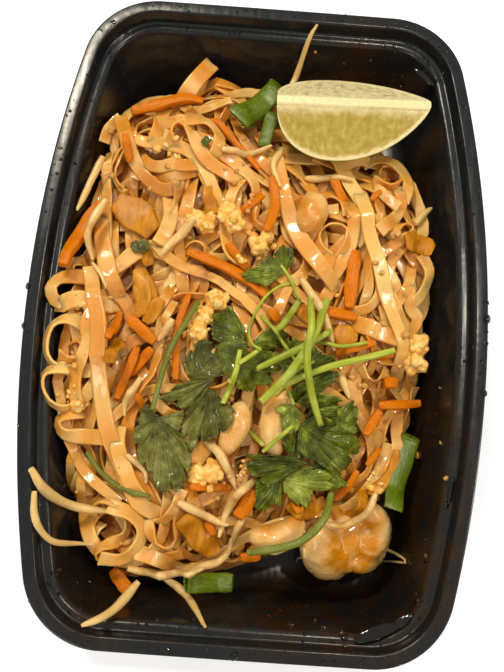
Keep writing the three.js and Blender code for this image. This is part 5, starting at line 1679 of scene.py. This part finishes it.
def shrimp_mesh(name, plan, draw):
    """A shrimp piece, made even and swollen, with grooves across its plan line."""
    points = smooth_line(plan, 0.5)
    lengths = np.arange(len(points)) * 0.5
    shape = node_bmesh(name)
    for place, size, turn in FLAPS.get(name, ()):
        add_pebble(shape, place, size, UP, draw, 0.0, turn)
    mesh = evened(shape, 0.8, 26)
    start = lengths[-1] / 2

    def push(place):
        phase = ((along_line(points, lengths, place) - start) / SEGMENT + 0.5) % 1 - 0.5
        groove = -GROOVE_DEPTH * math.exp(-(phase / GROOVE_HALF) ** 2)
        return SHRIMP_SWELL + groove + lumps(place, *SHRIMP_LUMPS)

    pushed(mesh, push)
    point_values(mesh, "stain", [patches(SHRIMP_STAINS, x, y) for x, y, _ in coordinates(mesh)])
    return mesh


# Lumps of cooked food: pairs of size and height.
SHRIMP_LUMPS = ((14, 1.2), (2.4, 0.25), (0.8, 0.08))
ONION_LUMPS = ((7, 0.5), (2.2, 0.12))
EGG_SWELL, EGG_LUMPS = 0.3, ((3.6, 1.8), (1.5, 1.1), (0.8, 0.35))
EGG_PLACES = [(-22, 30.5), (-11, 31.5), (-1, 25), (-14, 2.5), (-18, -4), (-19, -9), (57, -9),
              (-13, -55), (-59, -33), (-34, 54), (-30, -15), (28, 8), (46, -57), (-3, -53.5), (-9, 20)]
PEANUT_PLACES = [(-53.5, 47), (-41, -82), (-43, 58), (35, -54), (63, -17.5), (63, -44.5), (67, -48),
                 (16, 99), (-59.5, -63), (-24, 12), (12, 55), (-8, -60), (40, 20), (-38, -55), (30, -50)]
# Crumbs: how far they are scattered and between what sizes.
PEANUT_SPREAD, PEANUT_SIZES = 2.2, (0.35, 1.5)
EGG_CRUMBS, EGG_SPREAD, EGG_SIZES = 150, 2.6, (0.5, 1.8)
CRUMB_UNEVENNESS = 0.28
# Where more peanut crumbs may fall: how many places, between what x and y, and how high.
MORE_PLACES, CRUMBS_X, CRUMBS_Y, CRUMBS_ABOVE = 60, (-70, 65), (-95, 95), 30


def scattered_crumbs(places, count, spread, sizes, draw):
    """Uneven crumbs round some places, each lying on what is there."""
    shape = bmesh.new()
    ground = DISH.ground
    for _ in range(count):
        x, y = draw.choice(places)
        x, y = x + draw.gauss(0, spread), y + draw.gauss(0, spread)
        if DISH.clean.at(x, y) > MISS:
            continue
        size = draw.uniform(*sizes) ** 2 / sizes[1]
        z = float(ground.at(x, y)) + size * 0.25
        shape_size = [size * draw.uniform(0.7, 1.2) for _ in range(3)]
        normal = Vector((draw.gauss(0, 0.5), draw.gauss(0, 0.5), 1)).normalized()
        add_pebble(shape, (x, y, z), shape_size, normal, draw, CRUMB_UNEVENNESS)
    return kept_inside(to_mesh(shape))


def heap_places(count, draw):
    """Places all over the heap."""
    places = []
    while len(places) < count:
        x, y = draw.uniform(*CRUMBS_X), draw.uniform(*CRUMBS_Y)
        if DISH.surface.at(x, y) > CRUMBS_ABOVE:
            places.append((x, y))
    return places


# ---- Settings ----

class NoodleSettings(bpy.types.PropertyGroup):
    width: FloatProperty(name="Width", description="Width of a usual noodle",
                         default=4.9 * MM, unit="LENGTH")
    thickness: FloatProperty(name="Thickness", description="Thickness of a usual noodle",
                             default=0.95 * MM, unit="LENGTH")
    count: IntProperty(name="Count", default=220,
                       description="How many wandering noodles are tried in the lowest layer")
    seed: IntProperty(name="Seed", description="Changes how the noodles fall", default=7)


class ToppingSettings(bpy.types.PropertyGroup):
    seed: IntProperty(name="Seed", description="Changes the toppings' small differences", default=3)
    crumbs: IntProperty(name="Crumbs", description="How many crumbs lie on the heap", default=170)
    drops: IntProperty(name="Drops", description="How many water drops are on the tray", default=420)


class StudioSettings(bpy.types.PropertyGroup):
    surround: FloatProperty(name="Surround", description="Strength of the even studio light",
                            default=0.5)
    key: FloatProperty(name="Key", description="Power of the main lamp", default=4.2, unit="POWER")
    tint: FloatVectorProperty(name="Lamp colour", description="Colour of the lamps",
                              default=(1.0, 0.9, 0.72), subtype="COLOR")


DISH = Dish()


def topping_draw(context, salt):
    """A source of random numbers for one step of the toppings."""
    return random.Random(context.scene.padthai_toppings.seed * 100 + salt)


# ---- Operators ----

class PADTHAI_OT_tray(bpy.types.Operator):
    """Makes the black takeaway tray and the water drops on it"""
    bl_idname = "padthai.tray"
    bl_label = "Tray"

    def execute(self, context):
        tray = new_object("takeaway_tray", tray_mesh(), tray_material(), "tray")
        draw = topping_draw(context, 1)
        new_object("water_drops", drops_mesh(context.scene.padthai_toppings.drops, draw),
                   water_material())
        return {"FINISHED"}


# The core: its grain, how far it is drawn in sideways, how much of the noodles' depth it drops
# by, and how much its foot keeps of its size, because the wall's curve leaves less room there.
CORE_VOXEL, CORE_INSET, CORE_DROP, FOOT_SHARE = 2.5, 2.0, 0.9, 0.98


class PADTHAI_OT_core(bpy.types.Operator):
    """Makes the bed under the noodles that show"""
    bl_idname = "padthai.core"
    bl_label = "Core"

    def execute(self, context):
        mesh = evened(node_bmesh("noodle_heap"), CORE_VOXEL, 6)
        places = coordinates(mesh)
        shape = bmesh.new()
        shape.from_mesh(mesh)
        floor = places[:, 2].min()
        for vertex, place in zip(shape.verts, places):
            top = max(DISH.surface.at(place[0], place[1]), floor + 1)
            share = (place[2] - floor) / top
            drop = NOODLE_BED * min(1, max(0, share)) * CORE_DROP
            inward = vertex.normal * CORE_INSET * MM
            vertex.co.z -= min(drop, place[2] - floor) * MM
            vertex.co.x -= inward.x
            vertex.co.y -= inward.y
            if place[2] < FOOT_HEIGHT / 2:
                vertex.co.x *= FOOT_SHARE
                vertex.co.y *= FOOT_SHARE
        shape.to_mesh(mesh)
        shape.free()
        core = new_object("noodle_core", kept_inside(mesh), core_material())
        return {"FINISHED"}


class PADTHAI_OT_noodles(bpy.types.Operator):
    """Lays the separate noodles over their core"""
    bl_idname = "padthai.noodles"
    bl_label = "Noodles"

    def execute(self, context):
        settings = context.scene.padthai_noodles
        heap = Heap(DISH, settings)
        heap.fill(settings.count, *LOWER_LAYER)
        lower = len(heap.strands)
        heap.fill(settings.count // 2, *MIDDLE_LAYER)
        heap.fill(settings.count // 4, *UPPER_LAYER)
        heap.lay_chosen()
        material = noodle_material()
        cover = DISH.ground.blurred(4)
        for name, strands, replaced in (("rice_noodles_below", heap.strands[:lower], ()),
                                        ("rice_noodles", heap.strands[lower:], ("noodle_heap",))):
            mesh = noodle_mesh(strands, heap.draw, cover)
            piece = new_object(name, kept_inside(mesh), material, *replaced)
        return {"FINISHED"}


class PADTHAI_OT_toppings(bpy.types.Operator):
    """Makes the shrimp, egg, onion, carrots, sprouts, scallions, crumbs and lime"""
    bl_idname = "padthai.toppings"
    bl_label = "Toppings"

    def execute(self, context):
        draw = topping_draw(context, 2)
        shrimp = shrimp_material()
        for name, plan in zip(nodes_named("shrimp"), SHRIMP_PLANS):
            mesh = shrimp_mesh(name, plan, draw)
            new_object("cooked_" + name, mesh, shrimp, name)
        onion = onion_material()
        for name in nodes_named("onion"):
            mesh = pushed(evened(node_bmesh(name), 0.6, 3),
                          lambda place: lumps(place, *ONION_LUMPS))
            new_object("cooked_" + name, mesh, onion, name)
        egg = egg_material()
        names = nodes_named("egg")
        mesh = pushed(evened(node_bmesh(*names), 0.5, 1),
                      lambda place: EGG_SWELL + lumps(place, *EGG_LUMPS))
        new_object("egg_curds", mesh, egg, *names)
        DISH.add_toppings(SHRIMP_SWELL, "shrimp")
        DISH.add_toppings(0.0, "onion", "egg", "scallion")
        self.lines(draw)
        count = context.scene.padthai_toppings.crumbs
        places = PEANUT_PLACES + heap_places(MORE_PLACES, draw)
        peanuts = scattered_crumbs(places, count, PEANUT_SPREAD, PEANUT_SIZES, draw)
        new_object("peanut_crumbs", peanuts, peanut_material())
        crumbs = scattered_crumbs(EGG_PLACES, EGG_CRUMBS, EGG_SPREAD, EGG_SIZES, draw)
        new_object("egg_crumbs", crumbs, egg)
        new_object("lime", lime_mesh(), lime_material(), "lime_wedge")
        return {"FINISHED"}

    def lines(self, draw):
        """Makes the toppings that are swept along lines."""
        slips = [shred(laid_line(plan, width * 0.8, 0.9, 0.6), width, draw, 0.35, 0.08)
                 for plan, width in SLIPS]
        swept_toppings("onion_slips", slips, SLIP_SECTION, onion_material(), ())
        carrots, names = line_toppings("carrot", CARROTS, MORE_CARROTS, 0.55, draw, 0.3, 0.05)
        swept_toppings("carrot_shreds", carrots, SHRED_SECTION, carrot_material(), names)
        sprouts, names = line_toppings("sprout", SPROUTS, MORE_SPROUTS, 1.0, draw, 0.4, 0.06, 0.45)
        swept_toppings("bean_sprouts", sprouts, ROD_SECTION, sprout_material(), names)
        names = nodes_named("scallion")
        strands = [shred(node_line(name, plan), width, draw, 0.05, 0.03)
                   for name, (plan, width) in zip(names, SCALLIONS)]
        swept_toppings("scallion_pieces", strands, tube_section(0.42, 0.09),
                       scallion_material(), names)


class PADTHAI_OT_herbs(bpy.types.Operator):
    """Makes the cilantro leaves and stems"""
    bl_idname = "padthai.herbs"
    bl_label = "Herbs"

    def execute(self, context):
        draw = topping_draw(context, 3)
        DISH.add_toppings(0.0, "carrot", "sprout", "lime")
        names = nodes_named("cilantro_leaf")
        for tone, mesh in enumerate(leaves_meshes(LEAVES, draw)):
            replaced = [node for node, kind in zip(names, LEAF_TONES) if kind == tone]
            look, *colours = LEAF_LOOKS[tone]
            name = "cilantro_" + look
            piece = new_object(name, mesh, leaf_material(name, *colours), *replaced)
        stems, names = line_toppings("cilantro_stem", STEMS, MORE_STEMS, 1.0, draw, 0.15, 0.04)
        swept_toppings("cilantro_stems", stems, ROD_SECTION, stem_material(),
                       names, DULL_STEMS)
        return {"FINISHED"}


# The camera's turn and its place in metres, as one matrix.
CAMERA_PLACE = Matrix((
    (0.99742997, -0.07131016, -0.0069507, -0.0030046),
    (0.0690128, 0.98228046, -0.17424793, -0.0500117),
    (0.01925318, 0.17332042, 0.98467728, 0.2764337),
    (0, 0, 0, 1)))
# Lamps: name, place, size in metres, share of the key's power.
LAMPS = [
    ("key", (-0.25, 0.45, 0.75), 0.13, 1.0),
    ("side", (0.6, -0.1, 0.55), 0.1, 0.4),
    ("front", (-0.35, -0.55, 0.6), 0.2, 0.25),
    ("glint", (0.15, 0.2, 0.9), 0.03, 0.35),
]
LENS, SENSOR, NEAREST = 37.5, 36, 0.01
FLOOR_HALF, FLOOR_COLOUR, FLOOR_GLOW = 1.5, "ecf0fc", 0.35
SURROUND_COLOUR = (1, 0.96, 0.89, 1)


class PADTHAI_OT_stage(bpy.types.Operator):
    """Makes the floor, the studio light and the camera"""
    bl_idname = "padthai.stage"
    bl_label = "Stage"

    def execute(self, context):
        settings = context.scene.padthai_studio
        shape = bmesh.new()
        bmesh.ops.create_grid(shape, x_segments=1, y_segments=1, size=FLOOR_HALF)
        floor_mesh = to_mesh(shape)
        floor = linked("floor", floor_mesh)
        surface = Recipe("floor", Roughness=0.9, Emission_Color=(1, 1, 1, 1),
                         Emission_Strength=FLOOR_GLOW)
        floor_mesh.materials.append(surface.use(rgba(FLOOR_COLOUR)))
        world = bpy.data.worlds.new("studio")
        world.use_nodes = True
        background = world.node_tree.nodes["Background"]
        background.inputs["Color"].default_value = SURROUND_COLOUR
        background.inputs["Strength"].default_value = settings.surround
        context.scene.world = world
        for name, place, size, share in LAMPS:
            lamp = bpy.data.lights.new(name, "AREA")
            lamp.size = size
            lamp.energy = settings.key * share
            lamp.color = settings.tint
            holder = linked(name, lamp)
            holder.location = place
            holder.rotation_euler = (-Vector(place)).to_track_quat("-Z", "Y").to_euler()
        lens = bpy.data.cameras.new("camera")
        lens.lens = LENS
        lens.sensor_width = SENSOR
        lens.clip_start = NEAREST
        camera = linked("camera", lens)
        camera.matrix_world = CAMERA_PLACE
        context.scene.camera = camera
        context.scene.view_settings.view_transform = "Standard"
        return {"FINISHED"}


class PADTHAI_PT_sidebar(bpy.types.Panel):
    """The dish's settings and steps"""
    bl_idname = "PADTHAI_PT_sidebar"
    bl_label = "Pad thai"
    bl_space_type = "VIEW_3D"
    bl_region_type = "UI"
    bl_category = "Pad thai"

    def draw(self, context):
        for group in ("padthai_noodles", "padthai_toppings", "padthai_studio"):
            settings = getattr(context.scene, group)
            box = self.layout.box()
            for name in settings.__annotations__:
                box.prop(settings, name)
        for step in STEPS:
            self.layout.operator("padthai." + step)


STEPS = ("core", "noodles", "toppings", "herbs", "tray", "stage")
GROUPS = (("padthai_noodles", NoodleSettings), ("padthai_toppings", ToppingSettings),
          ("padthai_studio", StudioSettings))
CLASSES = (NoodleSettings, ToppingSettings, StudioSettings, PADTHAI_OT_tray, PADTHAI_OT_core,
           PADTHAI_OT_noodles, PADTHAI_OT_toppings, PADTHAI_OT_herbs, PADTHAI_OT_stage,
           PADTHAI_PT_sidebar)


def register():
    for each in CLASSES:
        bpy.utils.register_class(each)
    for name, group in GROUPS:
        setattr(bpy.types.Scene, name, PointerProperty(type=group))


def unregister():
    for name, _ in GROUPS:
        delattr(bpy.types.Scene, name)
    for each in reversed(CLASSES):
        bpy.utils.unregister_class(each)


def main():
    register()
    bpy.ops.padthai.core()
    bpy.ops.padthai.noodles()
    bpy.ops.padthai.toppings()
    bpy.ops.padthai.herbs()
    bpy.ops.padthai.tray()
    bpy.ops.padthai.stage()


if __name__ == "__main__":
    main()
